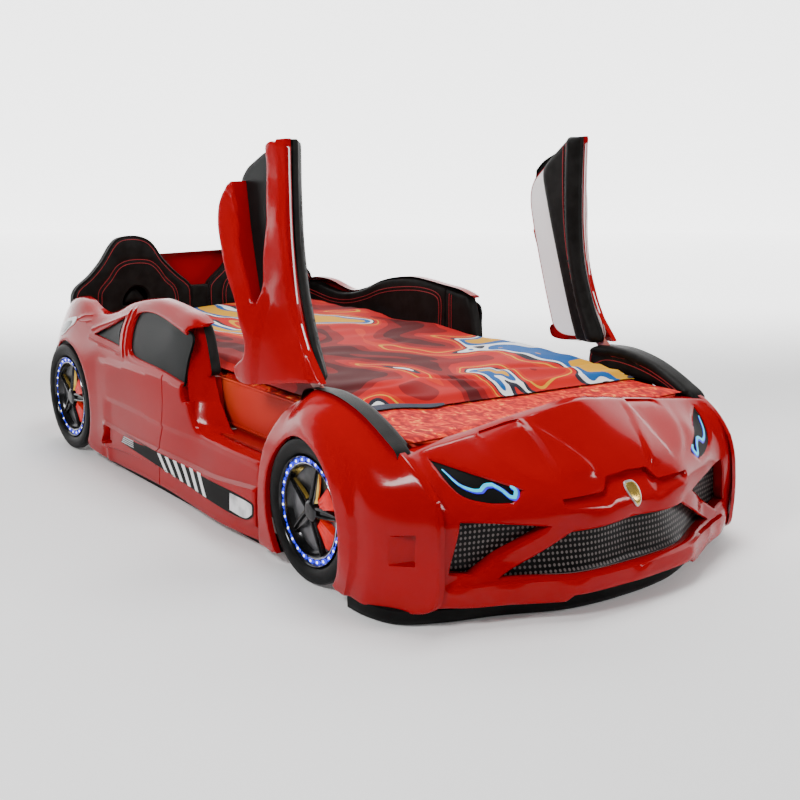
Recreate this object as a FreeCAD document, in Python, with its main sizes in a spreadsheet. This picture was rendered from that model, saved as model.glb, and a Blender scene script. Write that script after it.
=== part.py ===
import FreeCAD, Part
import math
import os
import Sketcher
from FreeCAD import Rotation, Vector

# Race-car bed. Millimetres, nose towards -Y, +X to the right, +Z up.
# The origin is the middle of the bed's footprint on the floor.
# Side pieces are drawn once as (Y, Z) outlines and built for both sides.

doc = FreeCAD.newDocument("race_car_bed")
sizes = doc.addObject("Spreadsheet::Sheet", "Sizes")

DIMENSIONS = {
    # mattress and the deck that carries it
    "mattress_wide": 900, "mattress_long": 1900, "mattress_tall": 146,
    "mattress_front": -870, "mattress_under": 250,
    "slat_wide": 70, "slat_thick": 14, "slat_count": 13, "slat_pitch": 145,
    "rail_wide": 30, "rail_tall": 34, "beam_wide": 50, "beam_tall": 120,
    # wheels
    "wheel_radius": 180, "front_axle": -590, "rear_axle": 953, "wheel_height": 180,
    "tyre_inner": 522, "wheel_face": 562, "rim_radius": 136, "led_outer": 133, "led_inner": 119,
    "lip_radius": 118, "disc_radius": 84, "hub_radius": 22, "arch_radius": 192, "spoke_count": 5,
    "mount_radius": 60,
    # distances of the side layers from the middle plane
    "board_inner": 454, "board_outer": 472, "pad_inner": 454, "pad_outer": 494,
    "skin_inner": 498, "skin_outer": 548, "skin_wall": 6, "fender_inner": 520, "fender_outer": 598,
    "plinth_inner": 474, "plinth_outer": 518, "plinth_tall": 23, "kick_tall": 30,
    # doors
    "hinge_forward": -545, "hinge_height": 457, "pin_radius": 4, "pin_clearance": 0.4,
    "trim_inner": 458, "trim_outer": 480, "door_lining": 490, "door_inner": 494, "pillar_outer": 518,
    "door_outer": 560, "glass_thick": 4, "bracket_outer": 479,
    # nose and tail
    "nose_half": 486, "nose_wall": 8, "tail_face": 1148, "rear_panel_thick": 18,
    "seat_plane": 1048, "seat_thick": 44, "head_board": 1094, "foot_board": -900, "board_thick": 18,
}
for row, (alias, value) in enumerate(DIMENSIONS.items(), start=1):
    cell = "B%d" % row
    sizes.set("A%d" % row, alias)
    sizes.set(cell, str(value))
    sizes.setAlias(cell, alias)
doc.recompute()

SIDES = {"left": -1, "right": 1}
parts = []


def size(alias):
    """Value of one driving dimension."""
    return float(sizes.get(alias))


def new_body(name):
    """An empty body whose label names its file."""
    body = doc.addObject("PartDesign::Body", name)
    body.Label = name
    body.AllowCompound = True
    return body


def plane_of(body, role):
    """One of the body's own origin planes."""
    return [item for item in body.Origin.OriginFeatures if item.Role == role][0]


def outline_sketch(body, name, role, outline, offset=None):
    """A closed sketch of straight lines through the outline's points."""
    sketch = body.newObject("Sketcher::SketchObject", name)
    sketch.AttachmentSupport = [(plane_of(body, role), "")]
    sketch.MapMode = "FlatFace"
    points = [Vector(u, v, 0) for u, v in outline]
    for start, end in zip(points, points[1:] + points[:1]):
        sketch.addGeometry(Part.LineSegment(start, end), False)
    count = len(points)
    for index in range(count):
        sketch.addConstraint(Sketcher.Constraint("Coincident", index, 2, (index + 1) % count, 1))
    if offset is not None:
        sketch.setExpression(".AttachmentOffset.Base.z", offset)
    return sketch


def circle_sketch(body, name, role, centre, radius, offset=None):
    """A round sketch whose radius is bound to the sheet."""
    sketch = body.newObject("Sketcher::SketchObject", name)
    sketch.AttachmentSupport = [(plane_of(body, role), "")]
    sketch.MapMode = "FlatFace"
    circle = Part.Circle(Vector(centre[0], centre[1], 0), Vector(0, 0, 1), 10)
    sketch.addGeometry(circle, False)
    sketch.addConstraint(Sketcher.Constraint("Radius", 0, 10))
    sketch.setExpression("Constraints[0]", radius)
    if offset is not None:
        sketch.setExpression(".AttachmentOffset.Base.z", offset)
    return sketch


def pad(body, sketch, length, reverse=False):
    """Pad a sketch by an expression."""
    feature = body.newObject("PartDesign::Pad", body.Name + "_pad")
    feature.Profile = sketch
    feature.setExpression("Length", length)
    feature.Reversed = reverse
    sketch.Visibility = False
    return feature


def pocket(body, sketch, length, reverse=False):
    """Cut a sketch into the body by an expression."""
    feature = body.newObject("PartDesign::Pocket", body.Name + "_pocket")
    feature.Profile = sketch
    feature.setExpression("Length", length)
    feature.Reversed = reverse
    sketch.Visibility = False
    return feature


def side_panel(name, side, inner, outer, outline, alone=True):
    """Outline in (Y, Z), solid from |x| = inner to |x| = outer on one side; alone unless it joins a group."""
    body = new_body(name)
    sign = SIDES[side]
    sketch = outline_sketch(body, name + "_outline", "YZ_Plane", outline, "%d * (%s)" % (sign, inner))
    pad(body, sketch, "(%s) - (%s)" % (outer, inner), reverse=sign < 0)
    if alone:
        parts.append(body)
    return body


def side_cut(body, side, label, inner, outer, outline):
    """Cut an outline from |x| = inner to |x| = outer."""
    sign = SIDES[side]
    sketch = outline_sketch(body, body.Name + label, "YZ_Plane", outline, "%d * (%s)" % (sign, inner))
    pocket(body, sketch, "(%s) - (%s)" % (outer, inner), reverse=sign > 0)


def side_bore(body, side, label, inner, outer, centre, radius):
    """Cut a round hole from |x| = inner to |x| = outer."""
    sign = SIDES[side]
    sketch = circle_sketch(body, body.Name + label, "YZ_Plane", centre, radius, "%d * (%s)" % (sign, inner))
    pocket(body, sketch, "(%s) - (%s)" % (outer, inner), reverse=sign > 0)


def offset_outline(outline, distance):
    """The outline moved inwards by a distance; where it pinches off, the larger piece."""
    wire = Part.makePolygon([Vector(u, v, 0) for u, v in outline + outline[:1]])
    area = Part.Face(wire).Area
    for step in (-distance, distance):
        pieces = wire.makeOffset2D(step, 2).Wires
        largest = max(pieces, key=lambda piece: Part.Face(piece).Area)
        if Part.Face(largest).Area < area:
            return [(vertex.X, vertex.Y) for vertex in largest.OrderedVertexes]


def arch(centre, radius, start, end, steps):
    """Points of a wheel arch about an axle, from one angle to the other in degrees."""
    angles = [math.radians(start + (end - start) * step / steps) for step in range(steps + 1)]
    return [(centre + radius * math.cos(angle), size("wheel_height") + radius * math.sin(angle))
            for angle in angles]


def box(name, low, high):
    """A Part box between two corners given as expressions."""
    block = doc.addObject("Part::Box", name)
    block.Label = name
    for prop, near, far in zip(("Length", "Width", "Height"), low, high):
        block.setExpression(prop, "(%s) - (%s)" % (far, near))
    for axis, near in zip("xyz", low):
        block.setExpression(".Placement.Base." + axis, near)
    return block


def piece_box(name, low, high):
    """A box that is a sub-part of its own."""
    block = box(name, low, high)
    parts.append(block)
    return block


def group(name, members):
    """Several separate identical solids kept as one sub-part."""
    compound = doc.addObject("Part::Compound", name)
    compound.Label = name
    compound.Links = members
    parts.append(compound)
    return compound


# ---------------------------------------------------------------- deck and boards

def side_boards():
    """MDF boards along the mattress, low across the door opening."""
    outline = [(-895, 62), (1085, 62), (1085, 392), (34, 392), (4, 242), (-350, 242), (-400, 242),
               (-530, 360), (-700, 360), (-895, 345)]
    for side in SIDES:
        side_panel("side_board_" + side, side, "Sizes.board_inner", "Sizes.board_outer", outline)


def deck():
    """Rails, slats and the middle beam under the mattress."""
    inner = "Sizes.board_inner"
    top = "Sizes.mattress_under - Sizes.slat_thick - 1"
    rails = []
    for side, sign in SIDES.items():
        low = inner + " - Sizes.rail_wide" if sign > 0 else "-(%s)" % inner
        high = inner if sign > 0 else "-(%s - Sizes.rail_wide)" % inner
        rails.append(box("slat_rail_" + side, (low, "Sizes.mattress_front + 5", top + " - Sizes.rail_tall"),
                         (high, "Sizes.mattress_front + Sizes.mattress_long - 5", top)))
    group("slat_rails", rails)
    slats = new_body("slats")
    half = "Sizes.board_inner - 2"
    width = size("board_inner") - 2
    first = size("mattress_front") + 40
    profile = [(-width, first), (width, first), (width, first + size("slat_wide")),
               (-width, first + size("slat_wide"))]
    sketch = outline_sketch(slats, "slat_outline", "XY_Plane", profile, top)
    sketch.addConstraint(Sketcher.Constraint("DistanceX", 0, 1, 0, 2, 2 * width))
    sketch.setExpression("Constraints[4]", "2 * (%s)" % half)
    slat = pad(slats, sketch, "Sizes.slat_thick")
    row = slats.newObject("PartDesign::LinearPattern", "slat_row")
    row.Originals = [slat]
    row.Direction = (plane_of(slats, "XZ_Plane"), [""])
    row.Reversed = True
    row.setExpression("Length", "(Sizes.slat_count - 1) * Sizes.slat_pitch")
    row.setExpression("Occurrences", "Sizes.slat_count")
    slats.Tip = row
    parts.append(slats)
    piece_box("middle_beam", ("-Sizes.beam_wide / 2", "Sizes.mattress_front", top + " - Sizes.beam_tall"),
              ("Sizes.beam_wide / 2", "Sizes.mattress_front + Sizes.mattress_long - 5", top))


def plinth():
    """Black boards that carry the body off the floor, and the feet under the beam."""
    sides = []
    for side, sign in SIDES.items():
        low, high = ("Sizes.plinth_inner", "Sizes.plinth_outer") if sign > 0 else (
            "-Sizes.plinth_outer", "-Sizes.plinth_inner")
        sides.append(box("plinth_side_" + side, (low, "-370", "0"), (high, "740", "Sizes.plinth_tall")))
    group("plinth_sides", sides)
    half = [(95, -1104), (190, -1086), (330, -1026), (455, -984), (535, -930), (560, -830)]
    bend = [(-x, y) for x, y in reversed(half)] + [(0, -1108)] + half
    front = new_body("plinth_front")
    plan = bend + [(x, y + size("board_thick")) for x, y in reversed(bend)]
    pad(front, outline_sketch(front, "plinth_plan", "XY_Plane", plan), "Sizes.kick_tall")
    parts.append(front)
    piece_box("plinth_rear", ("-440", "1112.5", "0"), ("440", "1129.5", "Sizes.kick_tall"))
    legs = []
    for index, place in enumerate((-600, 80, 760)):
        leg = doc.addObject("Part::Cylinder", "beam_leg_%d" % index)
        leg.Radius = 20
        leg.setExpression("Height", "Sizes.mattress_under - Sizes.slat_thick - 1 - Sizes.beam_tall")
        leg.Placement.Base = Vector(0, place, 0)
        legs.append(leg)
    group("beam_legs", legs)
    feet = []
    for sign in (-1, 1):
        for place in (-858, 1050):
            foot = box("corner_post", ("%d" % (sign * 430 - 22), "%d" % (place - 22), "0"),
                       ("%d" % (sign * 430 + 22), "%d" % (place + 22), "Sizes.mattress_under - 52"))
            feet.append(foot)
    group("corner_posts", feet)


def end_boards():
    """Boards across the foot and head of the mattress."""
    foot = new_body("foot_board")
    outline = [(-450, 62), (450, 62), (450, 345), (300, 375), (0, 392), (-300, 375), (-450, 345)]
    sketch = outline_sketch(foot, "foot_outline", "XZ_Plane", outline, "-Sizes.foot_board")
    pad(foot, sketch, "Sizes.board_thick", reverse=True)
    parts.append(foot)
    head = new_body("head_board")
    outline = [(-452, 62), (452, 62), (452, 520), (320, 655), (230, 655), (100, 500), (-100, 500),
               (-230, 655), (-320, 655), (-452, 520)]
    sketch = outline_sketch(head, "head_outline", "XZ_Plane", outline, "-Sizes.head_board")
    pad(head, sketch, "Sizes.board_thick", reverse=True)
    parts.append(head)


# ---------------------------------------------------------------- body skins

def front_fenders():
    """Bulging shells over the front wheels, open on the inside."""
    axle = size("front_axle")
    outline = ([(-352, 24), (-355, 190), (-385, 305), (-440, 385), (-480, 424), (-530, 456), (-610, 462),
                (-700, 446), (-790, 410), (-870, 362), (-925, 290), (-942, 215), (-945, 90), (-925, 32),
                (-720, 28)] + arch(axle, size("arch_radius"), 218, -38, 16) + [(-440, 28)])
    inner = offset_outline(outline, size("skin_wall"))
    door_slot = [(-340, 250), (-340, 480), (-552, 480), (-552, 440), (-520, 400), (-485, 348), (-425, 296),
                 (-392, 250)]
    for side in SIDES:
        body = side_panel("front_fender_" + side, side, "Sizes.fender_inner", "Sizes.fender_outer", outline)
        side_cut(body, side, "_hollow", "Sizes.fender_inner", "Sizes.fender_outer - Sizes.skin_wall", inner)
        side_cut(body, side, "_door_slot", "Sizes.fender_inner", "Sizes.door_outer + 8", door_slot)


def side_skins():
    """Sill, rear quarter and rear wheel housing in one shell each side."""
    axle = size("rear_axle")
    outline = ([(-348, 24), (-348, 240), (-2, 242), (8, 250), (38, 325), (66, 462), (84, 540), (140, 558),
                (220, 570), (355, 572), (470, 558), (590, 520), (730, 486), (850, 506), (930, 512),
                (1040, 508), (1110, 486), (1145, 400), (1160, 250), (1152, 90), (1120, 60)]
               + arch(axle, size("arch_radius"), -38, 218, 16) + [(770, 60), (700, 24)])
    inner = offset_outline(outline, size("skin_wall"))
    window = [(120, 480), (250, 524), (415, 530), (540, 500), (532, 384), (150, 362)]
    corner = [(628, 470), (632, 392), (820, 404)]
    panes = {"quarter_window": [], "corner_window": []}
    for side in SIDES:
        body = side_panel("side_skin_" + side, side, "Sizes.skin_inner", "Sizes.skin_outer", outline)
        side_cut(body, side, "_hollow", "Sizes.skin_inner", "Sizes.skin_outer - Sizes.skin_wall", inner)
        side_cut(body, side, "_window", "Sizes.skin_inner", "Sizes.skin_outer", window)
        side_cut(body, side, "_corner", "Sizes.skin_inner", "Sizes.skin_outer", corner)
        for label, opening in (("quarter_window", window), ("corner_window", corner)):
            panes[label].append(side_panel(label + "_" + side, side, "Sizes.skin_outer - 14",
                                           "Sizes.skin_outer - 10", offset_outline(opening, 0.5), alone=False))
    for label, members in panes.items():
        group(label + "s", members)


def nose_sections(inset):
    """Half-nose profiles (Y, Z) by distance from the middle, bonnet edge first, lip last."""
    stations = {
        0: [(-930, 442), (-1058, 348), (-1078, 302), (-1128, 236), (-1118, 208), (-1096, 150), (-1142, 104),
            (-1158, 84), (-1150, 50)],
        190: [(-908, 415), (-1040, 325), (-1070, 298), (-1112, 236), (-1108, 208), (-1062, 150), (-1120, 102),
              (-1134, 84), (-1126, 47)],
        330: [(-899, 394), (-985, 338), (-1012, 298), (-1050, 240), (-1052, 212), (-1032, 150), (-1052, 104),
              (-1066, 84), (-1058, 44)],
        450: [(-890, 377), (-925, 357), (-968, 306), (-1016, 240), (-1018, 212), (-1012, 150), (-1014, 104),
              (-1024, 84), (-1018, 41)],
        size("nose_half"): [(-888, 372), (-918, 354), (-952, 306), (-986, 240), (-989, 212), (-988, 150),
                            (-990, 104), (-994, 84), (-988, 40)],
    }
    if not inset:
        return {across: profile + [(-905, 40)] for across, profile in stations.items()}
    inner = {}
    for across, profile in stations.items():
        if across == size("nose_half"):
            across -= inset
        moved = [(y + inset, z - inset) for y, z in profile[:3]] + [(y + inset, z) for y, z in profile[3:8]]
        inner[across] = [(-870, profile[0][1] - inset)] + moved[1:] + [(moved[-1][0], 20), (-870, 20)]
    return inner


def nose_loft(body, kind, inset):
    """Ruled loft across the car through the nose sections and their mirror images."""
    sections = nose_sections(inset)
    sketches = []
    for across in sorted({sign * distance for distance in sections for sign in (-1, 1)}):
        name = "%s_%s_%d" % (body.Name, kind, len(sketches))
        sketches.append(outline_sketch(body, name, "YZ_Plane", sections[abs(across)], "%g" % across))
    feature = body.newObject("PartDesign::%sLoft" % kind, body.Name + "_" + kind.lower())
    feature.Profile = sketches[0]
    feature.Sections = sketches[1:]
    feature.Ruled = True
    return feature


def facing_prism(name, outline, front=-1220, back=-880):
    """A tool that runs along Y behind an (X, Z) outline."""
    body = new_body(name)
    sketch = outline_sketch(body, name + "_outline", "XZ_Plane", outline, "%d" % -front)
    pad(body, sketch, "%d" % (back - front), reverse=True)
    return body


def part_cut(name, base, tool):
    """Boolean cut kept in the document."""
    cut = doc.addObject("Part::Cut", name)
    cut.Label = name
    cut.Base, cut.Tool = base, tool
    return cut


def part_common(name, base, tool):
    """Boolean common kept in the document."""
    common = doc.addObject("Part::Common", name)
    common.Label = name
    common.Base, common.Tool = base, tool
    return common


def nose():
    """Bonnet and bumper shell with its lamp and grille openings, the lamps and what fills them."""
    blank = new_body("nose_blank")
    nose_loft(blank, "Additive", 0)
    nose_loft(blank, "Subtractive", size("nose_wall"))
    grille = [(-320, 110), (-172, 196), (172, 196), (320, 110), (250, 104), (-250, 104)]
    intake = [(238, 212), (428, 240), (452, 146), (402, 122)]
    lamp = [(276, 295), (437, 362), (418, 298), (316, 274)]
    strip = [(322, 296), (408, 332), (410, 326), (326, 290)]
    openings = [facing_prism("grille_opening", grille)]
    strips = []
    for side, sign in SIDES.items():
        mirrored = [[(sign * x, z) for x, z in outline] for outline in (intake, lamp, strip)]
        openings.append(facing_prism("intake_opening_" + side, mirrored[0]))
        openings.append(facing_prism("lamp_opening_" + side, mirrored[1]))
        lens_tool = facing_prism("lens_tool_" + side, offset_outline(mirrored[1], 1))
        strip_tool = facing_prism("strip_tool_" + side, mirrored[2])
        parts.append(part_cut("headlight_" + side, part_common("lens_" + side, blank, lens_tool), strip_tool))
        narrow_tool = facing_prism("narrow_tool_" + side, offset_outline(mirrored[2], 0.3))
        strips.append(part_common("strip_" + side, blank, narrow_tool))
    group("light_strips", strips)
    tools = doc.addObject("Part::MultiFuse", "nose_openings")
    tools.Shapes = openings
    parts.append(part_cut("nose_skin", blank, tools))


def rear_panel():
    """Red panel across the tail, behind the head board."""
    body = new_body("rear_panel")
    outline = [(-470, 40), (470, 40), (470, 440), (400, 520), (300, 600), (262, 624), (-262, 624), (-300, 600),
               (-400, 520), (-470, 440)]
    sketch = outline_sketch(body, "rear_outline", "XZ_Plane", outline, "-Sizes.tail_face")
    pad(body, sketch, "Sizes.rear_panel_thick")
    parts.append(body)


# ---------------------------------------------------------------- doors

def doors():
    """Doors drawn raised, as the bed is shown, with window, lining, trim and hinge arm."""
    hinge = (size("hinge_forward"), size("hinge_height"))
    whole = [(-548, 486), (-475, 667), (-446, 856), (-441, 1046), (-392, 1048), (-390, 900), (-382, 800),
             (-338, 622), (-262, 925), (-222, 934), (-200, 905), (-194, 840), (-300, 520), (-316, 485),
             (-345, 466), (-500, 468)]
    lower = [(-338, 622), (-262, 925), (-222, 934), (-200, 905), (-194, 840), (-300, 540), (-312, 526),
             (-362, 514), (-428, 482), (-480, 472), (-455, 560)]
    glass = [(-405, 1040), (-330, 1012), (-262, 968), (-232, 926), (-322, 590), (-360, 610), (-410, 790),
             (-418, 900)]
    lining = [(-530, 492), (-468, 640), (-440, 800), (-432, 950), (-432, 1040), (-376, 1052), (-276, 968),
              (-206, 902), (-200, 842), (-306, 512), (-322, 486), (-348, 470)]
    trim = [(-500, 500), (-466, 620), (-436, 790), (-430, 950), (-432, 1036), (-380, 1042), (-284, 962),
            (-435, 500)]
    arm = [(-558, 448), (-545, 443), (-500, 470), (-452, 530), (-460, 560), (-480, 556), (-508, 500),
           (-552, 470)]
    for side, sign in SIDES.items():
        shell = side_panel("door_shell_" + side, side, "Sizes.door_inner", "Sizes.pillar_outer", whole)
        sketch = outline_sketch(shell, "door_lower_" + side, "YZ_Plane", lower,
                                "%d * Sizes.pillar_outer" % sign)
        pad(shell, sketch, "Sizes.door_outer - Sizes.pillar_outer", reverse=sign < 0)
        side_cut(shell, side, "_hollow", "Sizes.door_inner", "Sizes.pillar_outer - Sizes.skin_wall",
                 offset_outline(whole, size("skin_wall")))
        side_cut(shell, side, "_recess", "Sizes.door_inner", "Sizes.door_outer - Sizes.skin_wall",
                 offset_outline(lower, size("skin_wall")))
        side_cut(shell, side, "_rebate", "Sizes.door_inner", "Sizes.door_inner + Sizes.glass_thick + 1", glass)
        side_panel("door_window_" + side, side, "Sizes.door_inner + 0.5",
                   "Sizes.door_inner + Sizes.glass_thick + 0.5", offset_outline(glass, 0.5))
        side_panel("door_lining_" + side, side, "Sizes.door_lining", "Sizes.door_inner", lining)
        side_panel("door_trim_" + side, side, "Sizes.trim_inner", "Sizes.trim_outer", trim)
        body = side_panel("door_arm_" + side, side, "Sizes.trim_outer", "Sizes.door_lining", arm)
        side_bore(body, side, "_bore", "Sizes.trim_outer", "Sizes.door_lining", hinge,
                  "Sizes.pin_radius + Sizes.pin_clearance")


def hinge_brackets():
    """Fixed plates on the side boards and the pins the doors turn on."""
    outline = [(-572, 280), (-518, 280), (-534, 462), (-545, 467), (-556, 462)]
    pins, plates = [], []
    for side, sign in SIDES.items():
        plate = side_panel("hinge_bracket_" + side, side, "Sizes.board_outer", "Sizes.bracket_outer", outline,
                           alone=False)
        plates.append(plate)
        side_bore(plate, side, "_bore", "Sizes.board_outer", "Sizes.bracket_outer",
                  (size("hinge_forward"), size("hinge_height")), "Sizes.pin_radius")
        pin = new_body("hinge_pin_" + side)
        sketch = circle_sketch(pin, "pin_circle_" + side, "YZ_Plane",
                               (size("hinge_forward"), size("hinge_height")),
                               "Sizes.pin_radius", "%d * (Sizes.board_outer + 0.5)" % sign)
        pad(pin, sketch, "Sizes.door_lining - Sizes.board_outer - 0.5", reverse=sign < 0)
        pins.append(pin)
    group("hinge_brackets", plates)
    group("hinge_pins", pins)


# ---------------------------------------------------------------- wheels

def revolved(name, side, axle, profile):
    """A round piece about the wheel axis; the profile is (distance outwards, radius)."""
    sign = SIDES[side]
    body = new_body(name)
    sketch = outline_sketch(body, name + "_profile", "XZ_Plane", [(sign * out, up) for out, up in profile])
    turn = body.newObject("PartDesign::Revolution", name + "_turn")
    turn.Profile = sketch
    turn.ReferenceAxis = (sketch, ["H_Axis"])
    turn.Angle = 360
    sketch.Visibility = False
    body.setExpression(".Placement.Base.x", "%d * Sizes.tyre_inner" % sign)
    body.setExpression(".Placement.Base.y", axle)
    body.setExpression(".Placement.Base.z", "Sizes.wheel_height")
    return body


def caliper(name, side, axle, facing):
    """One brake caliper, a short block over the disc's edge."""
    sign = SIDES[side]
    body = new_body(name)
    middle = math.radians(facing)
    corners = [(62, -0.36), (62, 0.36), (102, 0.30), (102, -0.30)]
    outline = [(radius * math.cos(middle + turn), radius * math.sin(middle + turn)) for radius, turn in corners]
    sketch = outline_sketch(body, name + "_outline", "YZ_Plane", outline, "%d * 14" % sign)
    pad(body, sketch, "6", reverse=sign < 0)
    body.setExpression(".Placement.Base.x", "%d * Sizes.tyre_inner" % sign)
    body.setExpression(".Placement.Base.y", axle)
    body.setExpression(".Placement.Base.z", "Sizes.wheel_height")
    return body


def rim(name, side, axle):
    """Dished back plate, inner lip, hub and twin spokes."""
    sign = SIDES[side]
    lip, edge, hub = size("lip_radius"), size("rim_radius"), size("hub_radius")
    profile = [(4, 0), (30, 0), (30, hub), (9, hub), (9, lip - 4), (32, lip - 4), (32, lip), (9, lip),
               (9, edge - 2), (36, edge - 2), (36, edge - 0.5), (4, edge - 0.5)]
    body = revolved(name, side, axle, profile)
    spoke = [(hub - 4, -9), (lip - 2, -17), (lip - 2, -6), (60, -3), (60, 3), (lip - 2, 6), (lip - 2, 17),
             (hub - 4, 9)]
    sketch = outline_sketch(body, name + "_spoke", "YZ_Plane", spoke, "%d * 21" % sign)
    bar = pad(body, sketch, "9", reverse=sign < 0)
    ring = body.newObject("PartDesign::PolarPattern", name + "_spokes")
    ring.Originals = [bar]
    ring.Axis = (plane_of(body, "X_Axis"), [""])
    ring.Angle = 360
    ring.setExpression("Occurrences", "Sizes.spoke_count")
    body.Tip = ring
    return body


def wheels():
    """Four fixed wheels: tyre, rim, light ring, brake disc, calipers, cap and the mount behind."""
    rims, lights, discs, calipers, caps, mounts = [], [], [], [], [], []
    radius, opening = size("wheel_radius"), size("rim_radius")
    depth = size("wheel_face") - size("tyre_inner")
    tyre = [(0, opening), (depth - 5, opening), (depth, opening + 5), (depth - 1, radius - 26),
            (depth - 7, radius - 8), (depth - 14, radius), (4, radius), (0, radius - 4)]
    for end, axle in (("front", "Sizes.front_axle"), ("rear", "Sizes.rear_axle")):
        for side in SIDES:
            place = end + "_" + side
            parts.append(revolved("tyre_" + place, side, axle, tyre))
            rims.append(rim("rim_" + place, side, axle))
            inner, outer = size("led_inner"), size("led_outer")
            lights.append(revolved("light_" + place, side, axle,
                                   [(28, inner), (34, inner), (34, outer), (28, outer)]))
            hub, disc = size("hub_radius"), size("disc_radius")
            discs.append(revolved("disc_" + place, side, axle,
                                  [(9.5, hub + 6), (13, hub + 6), (13, disc), (9.5, disc)]))
            caps.append(revolved("cap_" + place, side, axle, [(30.5, 0), (37, 0), (35, hub - 4), (30.5, hub - 2)]))
            mounts.append(revolved("mount_" + place, side, axle,
                                   [(-50, 0), (4, 0), (4, size("mount_radius")), (-50, size("mount_radius"))]))
            for facing in (20, 200):
                calipers.append(caliper("caliper_%s_%d" % (place, facing), side, axle, facing))
    group("rims", rims)
    group("light_rings", lights)
    group("brake_discs", discs)
    group("brake_calipers", calipers)
    group("wheel_caps", caps)
    group("wheel_mounts", mounts)


# ---------------------------------------------------------------- nose fittings and trim

def bent_mesh(name, plan, low, high):
    """A thin sheet that follows a plan line (X, Y) from left to right."""
    body = new_body(name)
    behind = [(x, y + 4) for x, y in reversed(plan)]
    sketch = outline_sketch(body, name + "_plan", "XY_Plane", plan + behind, "%g" % low)
    pad(body, sketch, "%g" % (high - low))
    return body


def nose_fittings():
    """Grille sheets behind the openings and the plain badge on the nose."""
    centre_plan = [(-335, -1016), (-190, -1050), (0, -1084), (190, -1050), (335, -1016)]
    parts.append(bent_mesh("grille_centre", centre_plan, 97, 202))
    side_plan = [(228, -1034), (330, -1003), (440, -987), (464, -976)]
    meshes = []
    for side, sign in SIDES.items():
        plan = [(sign * x, y) for x, y in side_plan][::sign]
        meshes.append(bent_mesh("side_grille_" + side, plan, 114, 248))
    group("side_grilles", meshes)
    badge = doc.addObject("Part::Cylinder", "nose_badge")
    badge.Label = "nose_badge"
    badge.Radius = 19
    badge.Height = 4
    badge.Placement = FreeCAD.Placement(Vector(0, -1103.4, 269.4), Rotation(Vector(1, 0, 0), 52.9))
    parts.append(badge)


def side_trim():
    """Round discs on the rear quarters and the striped sill bands."""
    discs, bands = [], []
    for side, sign in SIDES.items():
        disc = doc.addObject("Part::Cylinder", "quarter_disc_" + side)
        disc.Radius = 26
        disc.Height = 3
        start = size("skin_outer") + 0.1
        disc.Placement = FreeCAD.Placement(Vector(sign * start, 975, 422), Rotation(Vector(0, 1, 0), sign * 90))
        discs.append(disc)
        outline = [(-345, 132), (-255, 76), (170, 96), (230, 148)]
        bands.append(side_panel("sill_band_" + side, side, "Sizes.skin_outer + 0.1",
                                "Sizes.skin_outer + 1.1", outline, alone=False))
    group("quarter_discs", discs)
    group("sill_bands", bands)


# ---------------------------------------------------------------- soft pieces

def mattress():
    """The sprung mattress, edges bevelled where the cover rounds them."""
    body = new_body("mattress")
    half = size("mattress_wide") / 2 - 1
    front = size("mattress_front")
    rear = front + size("mattress_long")
    outline = [(-half, front), (half, front), (half, rear), (-half, rear)]
    sketch = outline_sketch(body, "mattress_outline", "XY_Plane", outline, "Sizes.mattress_under")
    pad(body, sketch, "Sizes.mattress_tall")
    parts.append(body)


def duvet():
    """The folded-back duvet as one low slab on the mattress."""
    top = "(Sizes.mattress_under + Sizes.mattress_tall + 0.4)"
    piece_box("duvet", ("-438", "-600", top), ("438", "1020", top + " + 38"))


def pads():
    """Leather pads along the body sides, over the front wings and on the head board."""
    side_outline = [(36, 396), (80, 541), (118, 546), (225, 562), (387, 569), (480, 556), (570, 534),
                    (670, 495), (755, 475), (830, 470), (910, 478), (988, 497), (1044, 499), (1044, 396)]
    wing = [(-492, 404), (-494, 444), (-512, 462), (-555, 468), (-630, 470), (-718, 460), (-780, 440),
            (-840, 412), (-880, 388), (-888, 368), (-700, 366), (-540, 366)]
    for side in SIDES:
        side_panel("side_pad_" + side, side, "Sizes.pad_inner", "Sizes.door_lining - 1", side_outline)
        body = side_panel("wing_pad_" + side, side, "Sizes.pad_inner", "Sizes.pad_outer", wing)
        side_cut(body, side, "_hinge", "Sizes.board_outer - 1", "Sizes.pad_outer",
                 [(-480, 350), (-480, 480), (-580, 480), (-580, 350)])
    seat = [(36, 398), (36, 512), (92, 556), (142, 608), (176, 660), (198, 682), (234, 696), (294, 697),
            (335, 667), (373, 613), (415, 569), (452, 530), (452, 398)]
    hole = [(204, 468), (204, 486), (218, 511), (248, 526), (274, 516), (298, 489), (305, 462)]
    inserts = []
    for side, sign in SIDES.items():
        body = new_body("seat_pad_" + side)
        sketch = outline_sketch(body, "seat_outline_" + side, "XZ_Plane",
                                [(sign * across, up) for across, up in seat], "-Sizes.seat_plane")
        pad(body, sketch, "Sizes.seat_thick", reverse=True)
        opening = outline_sketch(body, "seat_hole_" + side, "XZ_Plane",
                                 [(sign * across, up) for across, up in hole], "-Sizes.seat_plane")
        pocket(body, opening, "Sizes.seat_thick")
        parts.append(body)
        insert = new_body("headrest_insert_" + side)
        smaller = offset_outline([(sign * across, up) for across, up in hole], 1)
        sketch = outline_sketch(insert, "insert_outline_" + side, "XZ_Plane", smaller,
                                "-(Sizes.seat_plane + 12)")
        pad(insert, sketch, "Sizes.seat_thick - 12", reverse=True)
        inserts.append(insert)
    group("headrest_inserts", inserts)
    piece_box("console_pad", ("-35", "Sizes.seat_plane + 6", "398"), ("35", "Sizes.seat_plane + Sizes.seat_thick", "510"))


# ---------------------------------------------------------------- run everything

side_boards()
deck()
plinth()
end_boards()
front_fenders()
side_skins()
nose()
rear_panel()
doors()
hinge_brackets()
wheels()
nose_fittings()
side_trim()
mattress()
duvet()
pads()

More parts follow.
